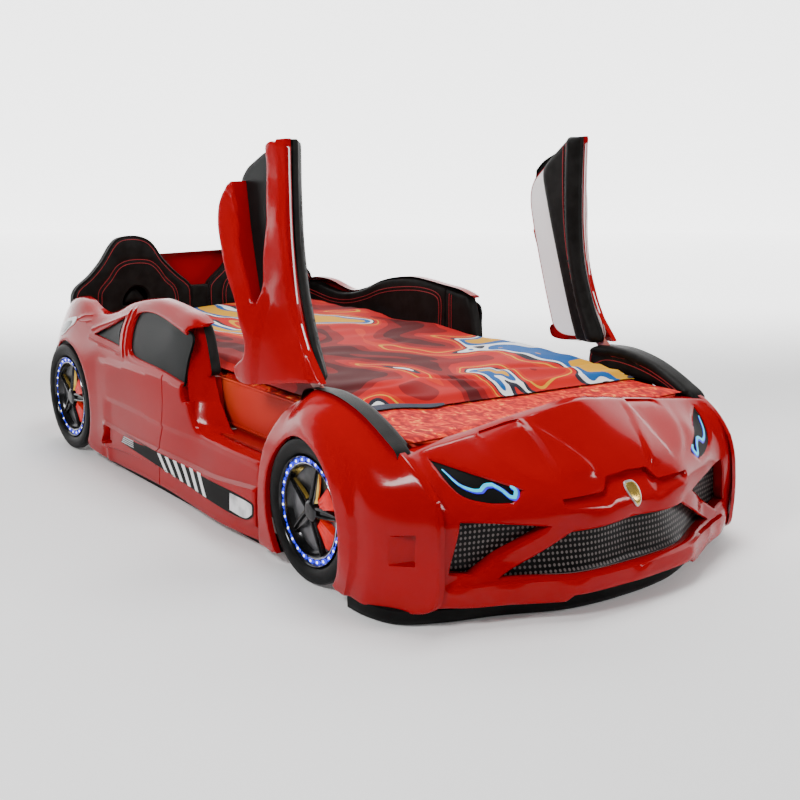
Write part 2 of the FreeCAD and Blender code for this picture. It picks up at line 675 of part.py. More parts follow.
doc.recompute()
os.makedirs("parts", exist_ok=True)
for part in parts:
    troubled = [item.Name for item in [part] + part.OutListRecursive
                if {"Invalid", "Error"} & set(item.State)]
    if troubled or part.Shape.isNull() or not part.Shape.isValid():
        raise RuntimeError("%s did not build: %s" % (part.Label, troubled))
    part.Shape.exportStep("parts/%s.step" % part.Label)
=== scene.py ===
import math

import bpy
import numpy as np
from mathutils import Euler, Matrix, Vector
from mathutils.geometry import delaunay_2d_cdt


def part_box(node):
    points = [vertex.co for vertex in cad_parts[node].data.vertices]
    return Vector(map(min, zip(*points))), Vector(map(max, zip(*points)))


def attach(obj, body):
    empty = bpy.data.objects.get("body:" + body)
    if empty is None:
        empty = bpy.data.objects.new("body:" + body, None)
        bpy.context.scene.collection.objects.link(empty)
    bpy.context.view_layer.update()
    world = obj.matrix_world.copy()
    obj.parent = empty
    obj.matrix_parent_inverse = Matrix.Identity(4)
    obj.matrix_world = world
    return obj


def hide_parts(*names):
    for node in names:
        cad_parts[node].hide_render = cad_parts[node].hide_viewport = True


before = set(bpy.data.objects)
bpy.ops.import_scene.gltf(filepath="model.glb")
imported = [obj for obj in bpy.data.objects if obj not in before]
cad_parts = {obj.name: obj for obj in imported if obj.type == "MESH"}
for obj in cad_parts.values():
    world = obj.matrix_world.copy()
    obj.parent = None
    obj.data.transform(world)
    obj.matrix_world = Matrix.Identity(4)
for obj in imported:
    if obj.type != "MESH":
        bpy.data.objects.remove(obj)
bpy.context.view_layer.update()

# Race-car bed, in metres: nose towards -Y, +X to the right, +Z up.
# Side pieces are shaped once for the right-hand side and mirrored for the left.

SIDES = {"left": -1, "right": 1}

# places taken from the frame
TYRE_LOW, TYRE_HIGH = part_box("tyre_front_right")
REAR_LOW, REAR_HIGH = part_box("tyre_rear_right")
WHEEL_RADIUS = (TYRE_HIGH[2] - TYRE_LOW[2]) / 2
WHEEL_FACE = TYRE_HIGH[0]
FRONT_AXLE = (TYRE_LOW[1] + TYRE_HIGH[1]) / 2
REAR_AXLE = (REAR_LOW[1] + REAR_HIGH[1]) / 2
AXLE_HEIGHT = (TYRE_LOW[2] + TYRE_HIGH[2]) / 2
ARCH_RADIUS = WHEEL_RADIUS + 0.011
MATTRESS_LOW, MATTRESS_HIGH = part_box("mattress")


# ---------------------------------------------------------------- plane geometry

def path(points, closed=True, step=0.008):
    """Dense points along a curve through (u, v); a third value marks a sharp corner."""
    corners = [index for index, point in enumerate(points) if len(point) > 2]
    flat = [np.array(point[:2], float) for point in points]
    count = len(flat)
    if closed and not corners:
        runs = [[flat[index % count] for index in range(-1, count + 2)]]
    else:
        if closed:
            order = flat[corners[0]:] + flat[:corners[0]] + [flat[corners[0]]]
            marks = [index - corners[0] for index in corners] + [count]
        else:
            order = flat
            marks = sorted(set([0] + corners + [count - 1]))
        runs = []
        for first, last in zip(marks, marks[1:]):
            piece = order[first:last + 1]
            runs.append([2 * piece[0] - piece[1]] + piece + [2 * piece[-1] - piece[-2]])
    dense = []
    for run in runs:
        for before, start, end, after in zip(run, run[1:], run[2:], run[3:]):
            pieces = max(1, int(math.ceil(np.linalg.norm(end - start) / step)))
            spans = ((before, start), (start, end), (end, after))
            gap = [max(np.linalg.norm(b - a) ** 0.5, 1e-4) for a, b in spans]
            step_ahead = end - start
            bend_out = step_ahead - (start - before) * gap[1] / gap[0]
            bend_in = step_ahead - (after - end) * gap[1] / gap[2]
            out = step_ahead - gap[1] / (gap[0] + gap[1]) * bend_out
            into = step_ahead - gap[1] / (gap[1] + gap[2]) * bend_in
            for index in range(pieces):
                t = index / pieces
                dense.append((2 * t ** 3 - 3 * t ** 2 + 1) * start + (t ** 3 - 2 * t ** 2 + t) * out
                             + (3 * t ** 2 - 2 * t ** 3) * end + (t ** 3 - t ** 2) * into)
    if not closed:
        dense.append(flat[-1])
    return np.array(dense)


def away(points, line, closed=True):
    """Distance from each point to a line of points."""
    ends = np.roll(line, -1, axis=0) if closed else line[1:]
    starts = line if closed else line[:-1]
    best = np.full(len(points), 1e9)
    for start, end in zip(starts, ends):
        run = end - start
        length = max(run @ run, 1e-12)
        t = np.clip((points - start) @ run / length, 0, 1)
        gap = points - (start + t[:, None] * run)
        best = np.minimum(best, np.hypot(gap[:, 0], gap[:, 1]))
    return best


def inside(points, loop):
    """True for points inside a closed loop."""
    hit = np.zeros(len(points), bool)
    for (x0, y0), (x1, y1) in zip(loop, np.roll(loop, -1, axis=0)):
        if y0 == y1:
            continue
        spans = (y0 > points[:, 1]) != (y1 > points[:, 1])
        hit ^= spans & (points[:, 0] < (x1 - x0) * (points[:, 1] - y0) / (y1 - y0) + x0)
    return hit


def area_sign(loop):
    """1 for a loop drawn anticlockwise, -1 for one drawn clockwise."""
    after = np.roll(loop, -1, axis=0)
    return 1 if np.sum(loop[:, 0] * after[:, 1] - loop[:, 1] * after[:, 0]) > 0 else -1


def outward(loop):
    """Unit vectors that point out of a closed loop at its points."""
    run = np.roll(loop, -1, axis=0) - np.roll(loop, 1, axis=0)
    run /= np.maximum(np.hypot(run[:, 0], run[:, 1])[:, None], 1e-9)
    return np.stack([run[:, 1], -run[:, 0]], axis=1) * area_sign(loop)


def moved(loop, distance):
    """The loop pushed outwards by a distance, without the points that would fold over."""
    pushed = loop + outward(loop) * distance
    keep = away(pushed, loop) > 0.93 * abs(distance)
    return pushed[keep]


def surface(controls):
    """Thin-plate surface through (u, v, value) controls, as a function of arrays u and v."""
    data = np.array(controls, float)
    where, value = data[:, :2], data[:, 2]

    def kernel(a, b):
        square = ((a[:, None, :] - b[None, :, :]) ** 2).sum(axis=2)
        return 0.5 * square * np.log(square + 1e-12)

    count = len(where)
    system = np.zeros((count + 3, count + 3))
    system[:count, :count] = kernel(where, where) + 1e-5 * np.eye(count)
    system[:count, count] = system[count, :count] = 1
    system[:count, count + 1:] = where
    system[count + 1:, :count] = where.T
    weights = np.linalg.solve(system, np.concatenate([value, np.zeros(3)]))

    def evaluate(u, v):
        points = np.stack([u, v], axis=1)
        chunks = np.array_split(points, max(1, len(points) // 2000))
        parts = [kernel(chunk, where) @ weights[:count] for chunk in chunks]
        return np.concatenate(parts) + weights[count] + points @ weights[count + 1:]

    return evaluate


def smooth_step(value, low, high):
    """0 below low, 1 above high, and a soft curve between them."""
    t = np.clip((value - low) / (high - low), 0, 1)
    return t * t * (3 - 2 * t)


# ---------------------------------------------------------------- mesh building

def new_object(name, verts, faces, smooth=40):
    """A mesh object with smooth faces and sharp edges above an angle in degrees."""
    mesh = bpy.data.meshes.new(name)
    mesh.from_pydata([tuple(map(float, vert)) for vert in verts], [],
                     [tuple(map(int, face)) for face in faces])
    mesh.validate()
    mesh.update()
    obj = bpy.data.objects.new(name, mesh)
    bpy.context.scene.collection.objects.link(obj)
    mesh.polygons.foreach_set("use_smooth", [True] * len(mesh.polygons))
    mesh.set_sharp_from_angle(angle=math.radians(smooth))
    return obj


def relief(outline, place, inward, holes=(), lines=(), grooves=(), step=0.009, edge=0.006, hole_edge=0.003,
           rims=((0.0, 0.03),), hole_rims=((0.0, 0.012),)):
    """Sheet over a (u, v) outline with holes, creases, grooves, rounded edges and turned-in rims.

    place(u, v) gives the points of the sheet, inward is the way that rims and grooves go.
    Returns vertex and face arrays.
    """
    loops = [outline] + list(holes)
    constraints = [(loop, True) for loop in loops] + [(line, False) for line in lines]
    constraints += [(moved(outline, -edge * part), True) for part in (0.3, 1.0) if edge]
    constraints += [(moved(hole, hole_edge), True) for hole in holes if hole_edge]
    for line, half, depth in grooves:
        run = np.gradient(line, axis=0)
        run /= np.hypot(run[:, 0], run[:, 1])[:, None]
        across = np.stack([run[:, 1], -run[:, 0]], axis=1)
        constraints += [(line + across * half * side, False) for side in (-1, 0, 1)]
    low, high = outline.min(axis=0), outline.max(axis=0)
    rows = int((high[1] - low[1]) / (step * 0.87)) + 1
    columns = int((high[0] - low[0]) / step) + 1
    grid = np.array([(low[0] + (column + 0.5 * (row % 2)) * step, low[1] + row * step * 0.87)
                     for row in range(rows) for column in range(columns)])
    keep = inside(grid, outline)
    for hole in holes:
        keep &= ~inside(grid, hole)
    grid = grid[keep]
    for line, closed in constraints:
        grid = grid[away(grid, line, closed) > 0.45 * step]
    points, edges = list(map(tuple, grid)), []
    for line, closed in constraints:
        first = len(points)
        points += list(map(tuple, line))
        edges += [(first + index, first + index + 1) for index in range(len(line) - 1)]
        if closed:
            edges.append((len(points) - 1, first))
    result = delaunay_2d_cdt([Vector(point) for point in points], edges, [], 0, 1e-6, False)
    uv = np.array([tuple(vert) for vert in result[0]])
    faces = np.array([face for face in result[2] if len(face) == 3])
    centres = uv[faces].mean(axis=1)
    keep = inside(centres, outline)
    for hole in holes:
        keep &= ~inside(centres, hole)
    faces = faces[keep]
    used = np.unique(faces)
    renumber = np.full(len(uv), -1)
    renumber[used] = np.arange(len(used))
    uv, faces = uv[used], renumber[faces]
    points = np.stack(place(uv[:, 0], uv[:, 1]), axis=1)
    depth = np.zeros(len(uv))
    if edge:
        gap = np.clip(away(uv, outline), 0, edge)
        depth += edge - np.sqrt(np.maximum(edge ** 2 - (edge - gap) ** 2, 0))
    for hole in holes:
        if hole_edge:
            gap = np.clip(away(uv, hole), 0, hole_edge)
            depth += hole_edge - np.sqrt(np.maximum(hole_edge ** 2 - (hole_edge - gap) ** 2, 0))
    for line, half, deep in grooves:
        depth += deep * np.clip(1 - away(uv, line, False) / half, 0, 1)
    inward = np.array(inward, float)
    verts = points + depth[:, None] * inward
    normals = np.cross(verts[faces[:, 1]] - verts[faces[:, 0]], verts[faces[:, 2]] - verts[faces[:, 0]])
    if (normals @ inward).sum() > 0:
        faces = faces[:, ::-1]
    once = {}
    for face in faces:
        for a, b in ((face[0], face[1]), (face[1], face[2]), (face[2], face[0])):
            key = (min(a, b), max(a, b))
            once[key] = None if key in once else (a, b)
    border = [pair for pair in once.values() if pair is not None]
    ring = np.unique(np.array(border).ravel())
    owner = np.argmin(np.stack([away(uv[ring], loop) for loop in loops]), axis=0)
    normal = np.zeros((len(ring), 2))
    for index, loop in enumerate(loops):
        mine = owner == index
        nearest = np.argmin(((uv[ring][mine][:, None, :] - loop[None, :, :]) ** 2).sum(axis=2), axis=1)
        normal[mine] = outward(loop)[nearest] * (1 if index == 0 else -1)
    all_verts, all_faces = [verts], [tuple(face) for face in faces]
    previous = {vertex: vertex for vertex in ring}
    total = len(verts)
    for level in range(max(len(rims), len(hole_rims))):
        current, made = {}, []
        for index, vertex in enumerate(ring):
            spec = rims if owner[index] == 0 else hole_rims
            if level >= len(spec):
                continue
            along, deep = spec[level]
            if callable(along):
                along = along(*uv[vertex])
            if callable(deep):
                deep = deep(*uv[vertex])
            target = uv[vertex] + normal[index] * along
            made.append((target, deep, vertex))
            current[vertex] = total + len(made) - 1
        if not made:
            break
        spots = np.array([spot for spot, _, _ in made])
        base = np.stack(place(spots[:, 0], spots[:, 1]), axis=1)
        still = np.array([np.allclose(spot, uv[vertex]) for spot, _, vertex in made])
        base[still] = points[[vertex for _, _, vertex in made]][still]
        depths = np.array([deep for _, deep, _ in made])
        all_verts.append(base + depths[:, None] * inward)
        total += len(made)
        for a, b in border:
            if a in current and b in current:
                all_faces.append((previous[b], previous[a], current[a], current[b]))
        previous.update(current)
    return np.concatenate(all_verts), all_faces


def both_sides(name, data, smooth=40):
    """Right-hand object from arrays, and its mirror image on the left."""
    verts, faces = data
    right = new_object(name + "_right", verts, faces, smooth)
    flipped = [tuple(reversed(face)) for face in faces]
    left = new_object(name + "_left", verts * np.array([-1, 1, 1]), flipped, smooth)
    return {"left": left, "right": right}


def lathe(profile, segments=96):
    """Verts and faces of a profile (out along X, radius) turned about the X axis."""
    verts, faces = [], []
    for segment in range(segments):
        angle = 2 * math.pi * segment / segments
        verts += [(out, radius * math.cos(angle), radius * math.sin(angle)) for out, radius in profile]
    count = len(profile)
    for segment in range(segments):
        after = (segment + 1) % segments
        for index in range(count - 1):
            faces.append((segment * count + index, after * count + index,
                          after * count + index + 1, segment * count + index + 1))
    return np.array(verts), faces


def tube(name, points, radius, closed=False, resolution=3):
    """A thin round bead through 3-D points, such as a thread or piping."""
    curve = bpy.data.curves.new(name, "CURVE")
    curve.dimensions = "3D"
    curve.bevel_depth = radius
    curve.bevel_resolution = resolution
    spline = curve.splines.new("POLY")
    spline.points.add(len(points) - 1)
    for spot, point in zip(spline.points, points):
        spot.co = (*map(float, point), 1)
    spline.use_cyclic_u = closed
    obj = bpy.data.objects.new(name, curve)
    bpy.context.scene.collection.objects.link(obj)
    return obj


def finish_piece(obj, material, body, slot, *nodes):
    """Material, body and the CAD nodes that a piece stands for; slot is not used."""
    obj.data.materials.clear()
    obj.data.materials.append(material)
    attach(obj, body)
    if nodes:
        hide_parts(*nodes)
    return obj


# ---------------------------------------------------------------- materials

def noise_node(tree, scale, detail=3.0, stretch=(1, 1, 1), place=(-900, 0)):
    """Noise in object space, stretched along the axes."""
    coords = tree.nodes.new("ShaderNodeTexCoord")
    mapping = tree.nodes.new("ShaderNodeMapping")
    mapping.inputs["Scale"].default_value = stretch
    noise = tree.nodes.new("ShaderNodeTexNoise")
    noise.inputs["Scale"].default_value = scale
    noise.inputs["Detail"].default_value = detail
    tree.links.new(coords.outputs["Object"], mapping.inputs["Vector"])
    tree.links.new(mapping.outputs["Vector"], noise.inputs["Vector"])
    return noise


def ramp_node(tree, source, stops, hard=False):
    """Colour ramp fed by a value; stops are (position, colour)."""
    ramp = tree.nodes.new("ShaderNodeValToRGB")
    ramp.color_ramp.interpolation = "CONSTANT" if hard else "LINEAR"
    elements = ramp.color_ramp.elements
    while len(elements) < len(stops):
        elements.new(0.5)
    for element, (position, colour) in zip(elements, stops):
        element.position = position
        element.color = (*colour, 1)
    tree.links.new(source, ramp.inputs["Fac"])
    return ramp


def material(name, dark, light, scale=6.0, rough=(0.3, 0.4), bump=0.0, bump_scale=300.0, stretch=(1, 1, 1),
             **extra):
    """Principled material whose colour, roughness and surface vary with noise."""
    made = bpy.data.materials.new(name)
    made.use_nodes = True
    tree = made.node_tree
    shader = tree.nodes["Principled BSDF"]
    noise = noise_node(tree, scale, stretch=stretch)
    colour = ramp_node(tree, noise.outputs["Fac"], [(0.35, dark), (0.65, light)])
    tree.links.new(colour.outputs["Color"], shader.inputs["Base Color"])
    spread = tree.nodes.new("ShaderNodeMapRange")
    spread.inputs["To Min"].default_value = rough[0]
    spread.inputs["To Max"].default_value = rough[1]
    tree.links.new(noise.outputs["Fac"], spread.inputs["Value"])
    tree.links.new(spread.outputs["Result"], shader.inputs["Roughness"])
    if bump:
        fine = noise_node(tree, bump_scale, 2.0)
        node = tree.nodes.new("ShaderNodeBump")
        node.inputs["Strength"].default_value = bump
        node.inputs["Distance"].default_value = 0.001
        tree.links.new(fine.outputs["Fac"], node.inputs["Height"])
        tree.links.new(node.outputs["Normal"], shader.inputs["Normal"])
    for socket, value in extra.items():
        shader.inputs[socket.replace("_", " ")].default_value = value
    return made


def glowing(name, colour, strength, edge):
    """Light-emitting material that fades a little with noise."""
    made = bpy.data.materials.new(name)
    made.use_nodes = True
    tree = made.node_tree
    shader = tree.nodes["Principled BSDF"]
    noise = noise_node(tree, 60.0)
    ramp = ramp_node(tree, noise.outputs["Fac"], [(0.3, edge), (0.55, colour)])
    tree.links.new(ramp.outputs["Color"], shader.inputs["Base Color"])
    tree.links.new(ramp.outputs["Color"], shader.inputs["Emission Color"])
    shader.inputs["Emission Strength"].default_value = strength
    return made


def dotted(name, ground, dot, pitch):
    """Black sheet with rows of pale oval holes; pitch is the spacing along X and Z."""
    made = bpy.data.materials.new(name)
    made.use_nodes = True
    tree = made.node_tree
    shader = tree.nodes["Principled BSDF"]
    coords = tree.nodes.new("ShaderNodeTexCoord")
    mapping = tree.nodes.new("ShaderNodeMapping")
    mapping.inputs["Scale"].default_value = (1 / pitch[0], 0, 1 / pitch[1])
    voronoi = tree.nodes.new("ShaderNodeTexVoronoi")
    voronoi.inputs["Randomness"].default_value = 0.05
    voronoi.inputs["Scale"].default_value = 1.0
    tree.links.new(coords.outputs["Object"], mapping.inputs["Vector"])
    tree.links.new(mapping.outputs["Vector"], voronoi.inputs["Vector"])
    ramp = ramp_node(tree, voronoi.outputs["Distance"], [(0.0, dot), (0.24, dot), (0.31, ground),
                                                         (1.0, ground)])
    tree.links.new(ramp.outputs["Color"], shader.inputs["Base Color"])
    shader.inputs["Roughness"].default_value = 0.35
    shader.inputs["Specular IOR Level"].default_value = 0.10
    return made


def printed(name, stops, scale, distort, stretch, bump=0.25, rough=0.75, fuzz=0.02, hard=False):
    """Cloth with a bold print in flat colours, a soft weave and a little sheen."""
    made = bpy.data.materials.new(name)
    made.use_nodes = True
    tree = made.node_tree
    shader = tree.nodes["Principled BSDF"]
    noise = noise_node(tree, scale, 1.2, stretch)
    noise.inputs["Distortion"].default_value = distort
    ramp = ramp_node(tree, noise.outputs["Fac"], stops, hard)
    tree.links.new(ramp.outputs["Color"], shader.inputs["Base Color"])
    shader.inputs["Roughness"].default_value = rough
    shader.inputs["Sheen Weight"].default_value = fuzz
    shader.inputs["Specular IOR Level"].default_value = 0.12
    fine = noise_node(tree, 420.0, 2.0)
    node = tree.nodes.new("ShaderNodeBump")
    node.inputs["Strength"].default_value = bump
    node.inputs["Distance"].default_value = 0.001
    tree.links.new(fine.outputs["Fac"], node.inputs["Height"])
    tree.links.new(node.outputs["Normal"], shader.inputs["Normal"])
    return made


RED = material("body_red_gloss", (0.30, 0.0004, 0.0030), (0.35, 0.0006, 0.0036), 3.0, (0.12, 0.17), 0.02,
               900.0, Coat_Weight=0.12, Coat_Roughness=0.02, Specular_IOR_Level=0.08)
LEATHER = material("black_leather", (0.006, 0.0055, 0.005), (0.011, 0.0105, 0.010), 30.0, (0.40, 0.50),
                   0.35, 520.0, Specular_IOR_Level=0.08)
TRIM = material("black_trim", (0.006, 0.006, 0.006), (0.012, 0.012, 0.012), 20.0, (0.3, 0.42), 0.2, 600.0,
                Specular_IOR_Level=0.10)
THREAD = material("red_thread", (0.30, 0.006, 0.012), (0.45, 0.012, 0.02), 300.0, (0.5, 0.6), 0.3, 900.0)
GLASS = material("dark_window", (0.004, 0.005, 0.005), (0.008, 0.009, 0.009), 4.0, (0.30, 0.38), 0.03, 700.0,
                 Specular_IOR_Level=0.05)
# White lining with a faint emission: a painted glow that keeps it bright white though it is no lamp.
LINING = material("white_lining_painted_glow", (0.86, 0.86, 0.87), (0.93, 0.93, 0.93), 12.0, (0.5, 0.6), 0.1, 500.0,
                  Emission_Color=(1, 1, 1, 1), Emission_Strength=0.18)
TYRE = material("tyre_rubber", (0.004, 0.004, 0.004), (0.008, 0.008, 0.008), 25.0, (0.42, 0.52), 0.15, 700.0,
                Specular_IOR_Level=0.08)
CHROME = material("black_chrome", (0.02, 0.02, 0.021), (0.05, 0.05, 0.052), 18.0, (0.12, 0.22), 0.02, 500.0,
                  Metallic=0.85)
BRIGHT = material("bright_chrome", (0.55, 0.55, 0.57), (0.75, 0.75, 0.77), 14.0, (0.12, 0.2), 0.02, 500.0,
                  Metallic=1.0)
GOLD = material("gold_inlay", (0.52, 0.33, 0.05), (0.72, 0.50, 0.13), 30.0, (0.2, 0.3), 0.05, 500.0,
                Metallic=0.9)
DISC = material("brake_disc_metal", (0.035, 0.035, 0.037), (0.16, 0.16, 0.17), 9.0, (0.28, 0.42), 0.05, 400.0,
                Metallic=0.8)
CALIPER = material("caliper_red", (0.62, 0.002, 0.002), (0.85, 0.006, 0.004), 60.0, (0.28, 0.4), 0.5, 160.0,
                   Specular_IOR_Level=0.25)
BLACK = material("black_plastic", (0.003, 0.003, 0.003), (0.007, 0.007, 0.007), 16.0, (0.4, 0.55), 0.1, 500.0,
                 Specular_IOR_Level=0.06)
SILVER = material("silver_badge", (0.42, 0.42, 0.43), (0.78, 0.78, 0.79), 22.0, (0.25, 0.35), 0.03, 500.0,
                  Metallic=0.6)
WHITE = material("white_paint", (0.80, 0.80, 0.80), (0.90, 0.90, 0.90), 30.0, (0.35, 0.45), 0.05, 600.0)
LED_CORE = glowing("led_core", (0.88, 0.92, 1.0), 2.6, (0.70, 0.78, 1.0))
LED_GLOW = glowing("led_glow", (0.004, 0.008, 0.90), 1.0, (0.003, 0.006, 0.7))
CYAN = glowing("headlight_strip", (0.0, 0.55, 0.75), 0.7, (0.0, 0.40, 0.70))
VIOLET = glowing("headlight_edge", (0.03, 0.01, 0.75), 0.5, (0.02, 0.01, 0.4))
FRONT_GRILLE = dotted("front_grille_mesh", (0.003, 0.003, 0.003), (0.15, 0.13, 0.125), (0.0105, 0.0130))
NAVY = material("navy_lining_cloth", (0.006, 0.008, 0.022), (0.012, 0.016, 0.042), 40.0, (0.7, 0.8), 0.3,
                500.0)
PRINT = printed("duvet_print", [(0.0, (0.07, 0.001, 0.002)), (0.40, (0.20, 0.002, 0.003)),
                                (0.47, (0.42, 0.003, 0.003)), (0.53, (0.52, 0.020, 0.003)),
                                (0.555, (0.62, 0.30, 0.01)), (0.570, (0.50, 0.006, 0.004)),
                                (0.60, (0.02, 0.02, 0.03)), (0.615, (0.75, 0.75, 0.75)),
                                (0.640, (0.01, 0.09, 0.30)), (0.67, (0.62, 0.30, 0.01))],
                3.2, 1.1, (1.0, 0.6, 0.4), hard=True)
FLEECE = printed("foot_fleece", [(0.36, (0.30, 0.002, 0.003)), (0.50, (0.60, 0.004, 0.004)),
                                 (0.64, (0.78, 0.06, 0.01)), (0.72, (0.88, 0.32, 0.05))], 46.0, 1.4,
                                 (1.0, 0.6, 1.0), 0.6)
SIDE_CLOTH = printed("mattress_side", [(0.30, (0.34, 0.006, 0.004)), (0.62, (0.58, 0.030, 0.014)),
                                       (0.80, (0.62, 0.08, 0.015))],
                     2.6, 0.6, (0.5, 0.5, 1.6), 0.15, 0.55, 0.02)
SHEET_WHITE = material("sheet_white", (0.78, 0.78, 0.80), (0.88, 0.88, 0.90), 16.0, (0.7, 0.8), 0.25, 400.0)
BOARD = material("board_laminate", (0.26, 0.003, 0.003), (0.32, 0.005, 0.004), 5.0, (0.45, 0.55), 0.1, 400.0,
                 Specular_IOR_Level=0.25)
PINE = material("pine_slats", (0.50, 0.33, 0.17), (0.66, 0.47, 0.27), 7.0, (0.5, 0.6), 0.3, 200.0,
                (1, 14, 14))
STEEL = material("hinge_steel", (0.42, 0.43, 0.44), (0.60, 0.61, 0.62), 30.0, (0.25, 0.35), 0.05, 500.0,
                 Metallic=1.0)
ARM = material("arm_paint", (0.62, 0.18, 0.15), (0.74, 0.26, 0.21), 12.0, (0.35, 0.45), 0.05, 500.0)


# ---------------------------------------------------------------- body panels

def side_shape():
    """Distance of the rear side skin from the middle plane, over (y, z)."""
    return surface([
        (-.34, .24, .545), (-.34, .15, .556), (-.34, .04, .554), (-.1, .24, .545), (-.1, .15, .558),
        (0, .245, .545), (.05, .33, .547), (.09, .375, .546), (.10, .51, .522), (.05, .54, .512),
        (.20, .56, .506), (.2, .52, .522), (.2, .39, .545), (.2, .30, .555), (.2, .15, .560),
        (.2, .04, .556), (.45, .56, .506), (.45, .40, .545), (.45, .30, .555), (.45, .15, .560),
        (.45, .04, .556), (.70, .49, .516), (.70, .42, .542), (.70, .30, .557), (.70, .10, .560),
        (.95, .51, .512), (.95, .45, .536), (.95, .38, .555), (.80, .35, .558), (1.10, .44, .500),
        (1.13, .30, .528), (1.15, .2, .524), (1.15, .06, .520), (.60, .04, .556), (1.05, .36, .545)])


ROOF = path([(.044, .545), (.10, .560), (.187, .568), (.275, .575), (.353, .577), (.45, .565), (.538, .545),
             (.644, .508), (.743, .487), (.808, .492), (.90, .512), (.984, .513), (1.05, .497), (1.10, .458),
             (1.135, .39), (1.150, .30)], closed=False)


def turned_arc(centre, radius, start, end, step=0.008):
    """Points on an arc between two angles in degrees."""
    count = max(6, int(abs(math.radians(end - start)) * radius / step))
    angles = np.radians(np.linspace(start, end, count))
    return np.stack([centre[0] + radius * np.cos(angles), centre[1] + radius * np.sin(angles)], axis=1)


def side_skin():
    """Rear quarter, door panel and sill in one glossy sheet with a turned-in edge."""
    wide = side_shape()
    lower = path([(-.345, .030, 1), (-.345, .243, 1), (-.012, .250), (.018, .259), (.032, .278), (.044, .299),
                  (.054, .326, 1), (.080, .326, 1), (.089, .339), (.094, .362, 1), (.086, .374, 1),
                  (.229, .388), (.437, .402), (.457, .414), (.468, .450), (.464, .487), (.447, .520),
                  (.425, .529), (.34, .538), (.25, .531), (.17, .519), (.109, .506, 1), (.097, .524, 1),
                  (.05, .535, 1), (.044, .545, 1)], False)
    rear = path([(1.150, .30), (1.155, .20), (1.150, .10), (1.145, .055, 1), (1.095, .050, 1)], False)
    arch = turned_arc((REAR_AXLE, AXLE_HEIGHT), ARCH_RADIUS, -42, 222)
    bottom = path([(.795, .034), (.62, .027), (.26, .033), (-.127, .024), (-.345, .030)], False)
    outline = np.concatenate([lower[:-1], ROOF[:-1], rear, arch, bottom[:-1]])
    pane = path([(.532, .505, 1), (.548, .455), (.540, .411, 1), (.735, .424, 1)])
    belt = path([(.086, .366), (.213, .376), (.481, .366), (.70, .352)], False)
    crease = path([(-.005, .229), (.212, .231), (.398, .237), (.602, .235)], False)
    skirt = path([(-.33, .176), (-.093, .155), (.215, .154), (.488, .151), (.624, .158)], False)
    ledge = path([(-.34, .072), (-.077, .074), (.174, .098), (.598, .080), (.70, .060)], False)
    intake = path([(.628, .150, 1), (.560, .146, 1), (.575, .100, 1), (.690, .070, 1)])
    line_height = [(line[:, 0][np.argsort(line[:, 0])], line[:, 1][np.argsort(line[:, 0])])
                   for line in (belt, crease, skirt, ledge)]

    def place(y, z):
        x = wide(y, z)
        roll = 0.040
        gap = np.clip(away(np.stack([y, z], axis=1), ROOF, False), 0, roll)
        x = x - 0.55 * (roll - np.sqrt(np.maximum(roll ** 2 - (roll - gap) ** 2, 0)))
        fade = [smooth_step(y, 0.72, 0.60), smooth_step(y, 0.66, 0.58), smooth_step(y, 0.66, 0.625),
                smooth_step(y, 0.70, 0.60)]
        for (ys, zs), size, show in zip(line_height, (0.004, -0.005, 0.010, -0.012), fade):
            x = x + show * size * smooth_step(np.interp(y, ys, zs) - z, -0.002, 0.006)
        points = np.stack([y, z], axis=1)
        sunk = inside(points, intake) * np.clip(away(points, intake) / 0.008, 0, 1)
        x = x - 0.020 * sunk
        return x, y, z

    lines = [line + np.array([0, shift]) for line in (belt, crease, skirt, ledge) for shift in (0.002,
                                                                                                -0.006)]
    inner_intake = moved(intake, -0.008)
    grooves = [(path([(.216, .374), (.202, .300), (.208, .234), (.232, .169), (.256, .056), (.258, .036)],
                     False),
                0.0028, 0.006),
               (path([(.497, .528), (.516, .480), (.516, .430), (.500, .388)], False), 0.006, -0.004),
               (path([(.462, .536), (.486, .480), (.486, .430), (.474, .398)], False), 0.006, -0.004),
               (path([(.505, .517), (.60, .488), (.70, .458), (.760, .438)], False), 0.007, -0.004),
               (path([(.530, .398), (.66, .406), (.775, .414)], False), 0.006, -0.003),
               (path([(.885, .452), (.845, .470), (.795, .478)], False), 0.004, -0.003),
               (path([(.885, .452), (.84, .453), (.785, .462)], False), 0.004, -0.003)]

    def depth(y, z):
        return 0.092 if z > 0.235 and y < 0.0 else 0.028

    made = relief(outline, place, (-1, 0, 0), [pane], lines + [intake, inner_intake], grooves, 0.010, 0.006,
                  0.003, rims=((0.0, 0.012), (0.0, depth)), hole_rims=((0.0, 0.010),))
    return made, place


def pillar_face():
    """Slanted front face of the rear pillar, from the side skin's front edge in to the pad."""
    wide = side_shape()
    outer = path([(-.014, .247), (.022, .262), (.048, .300), (.068, .345), (.079, .40), (.076, .45),
                  (.074, .50), (.078, .53), (.070, .548)], False, 0.006)
    inner_z = np.array([.250, .262, .327, .406, .526, .555])
    inner_y = np.array([-.085, -.056, .000, .033, .088, .098])
    rows = []
    for t in np.linspace(0, 1, 9):
        y = outer[:, 0] * (1 - t) + np.interp(outer[:, 1], inner_z, inner_y) * t
        hollow = 0.010 * math.sin(math.pi * t)
        z = outer[:, 1] + (np.interp(outer[:, 0], [-.02, .05], [0.0, 0.004]) * t)
        x = (wide(outer[:, 0], outer[:, 1]) - 0.009) * (1 - t) + 0.476 * t
        rows.append(np.stack([x, y + hollow, z], axis=1))
    return grid_faces(rows)


def grid_faces(rows):
    """Verts and faces of a grid given as rows of points."""
    count = len(rows[0])
    faces = []
    for row in range(len(rows) - 1):
        for index in range(count - 1):
            a = row * count + index
            faces.append((a, a + 1, a + count + 1, a + count))
    return np.concatenate([np.array(row, float) for row in rows]), faces


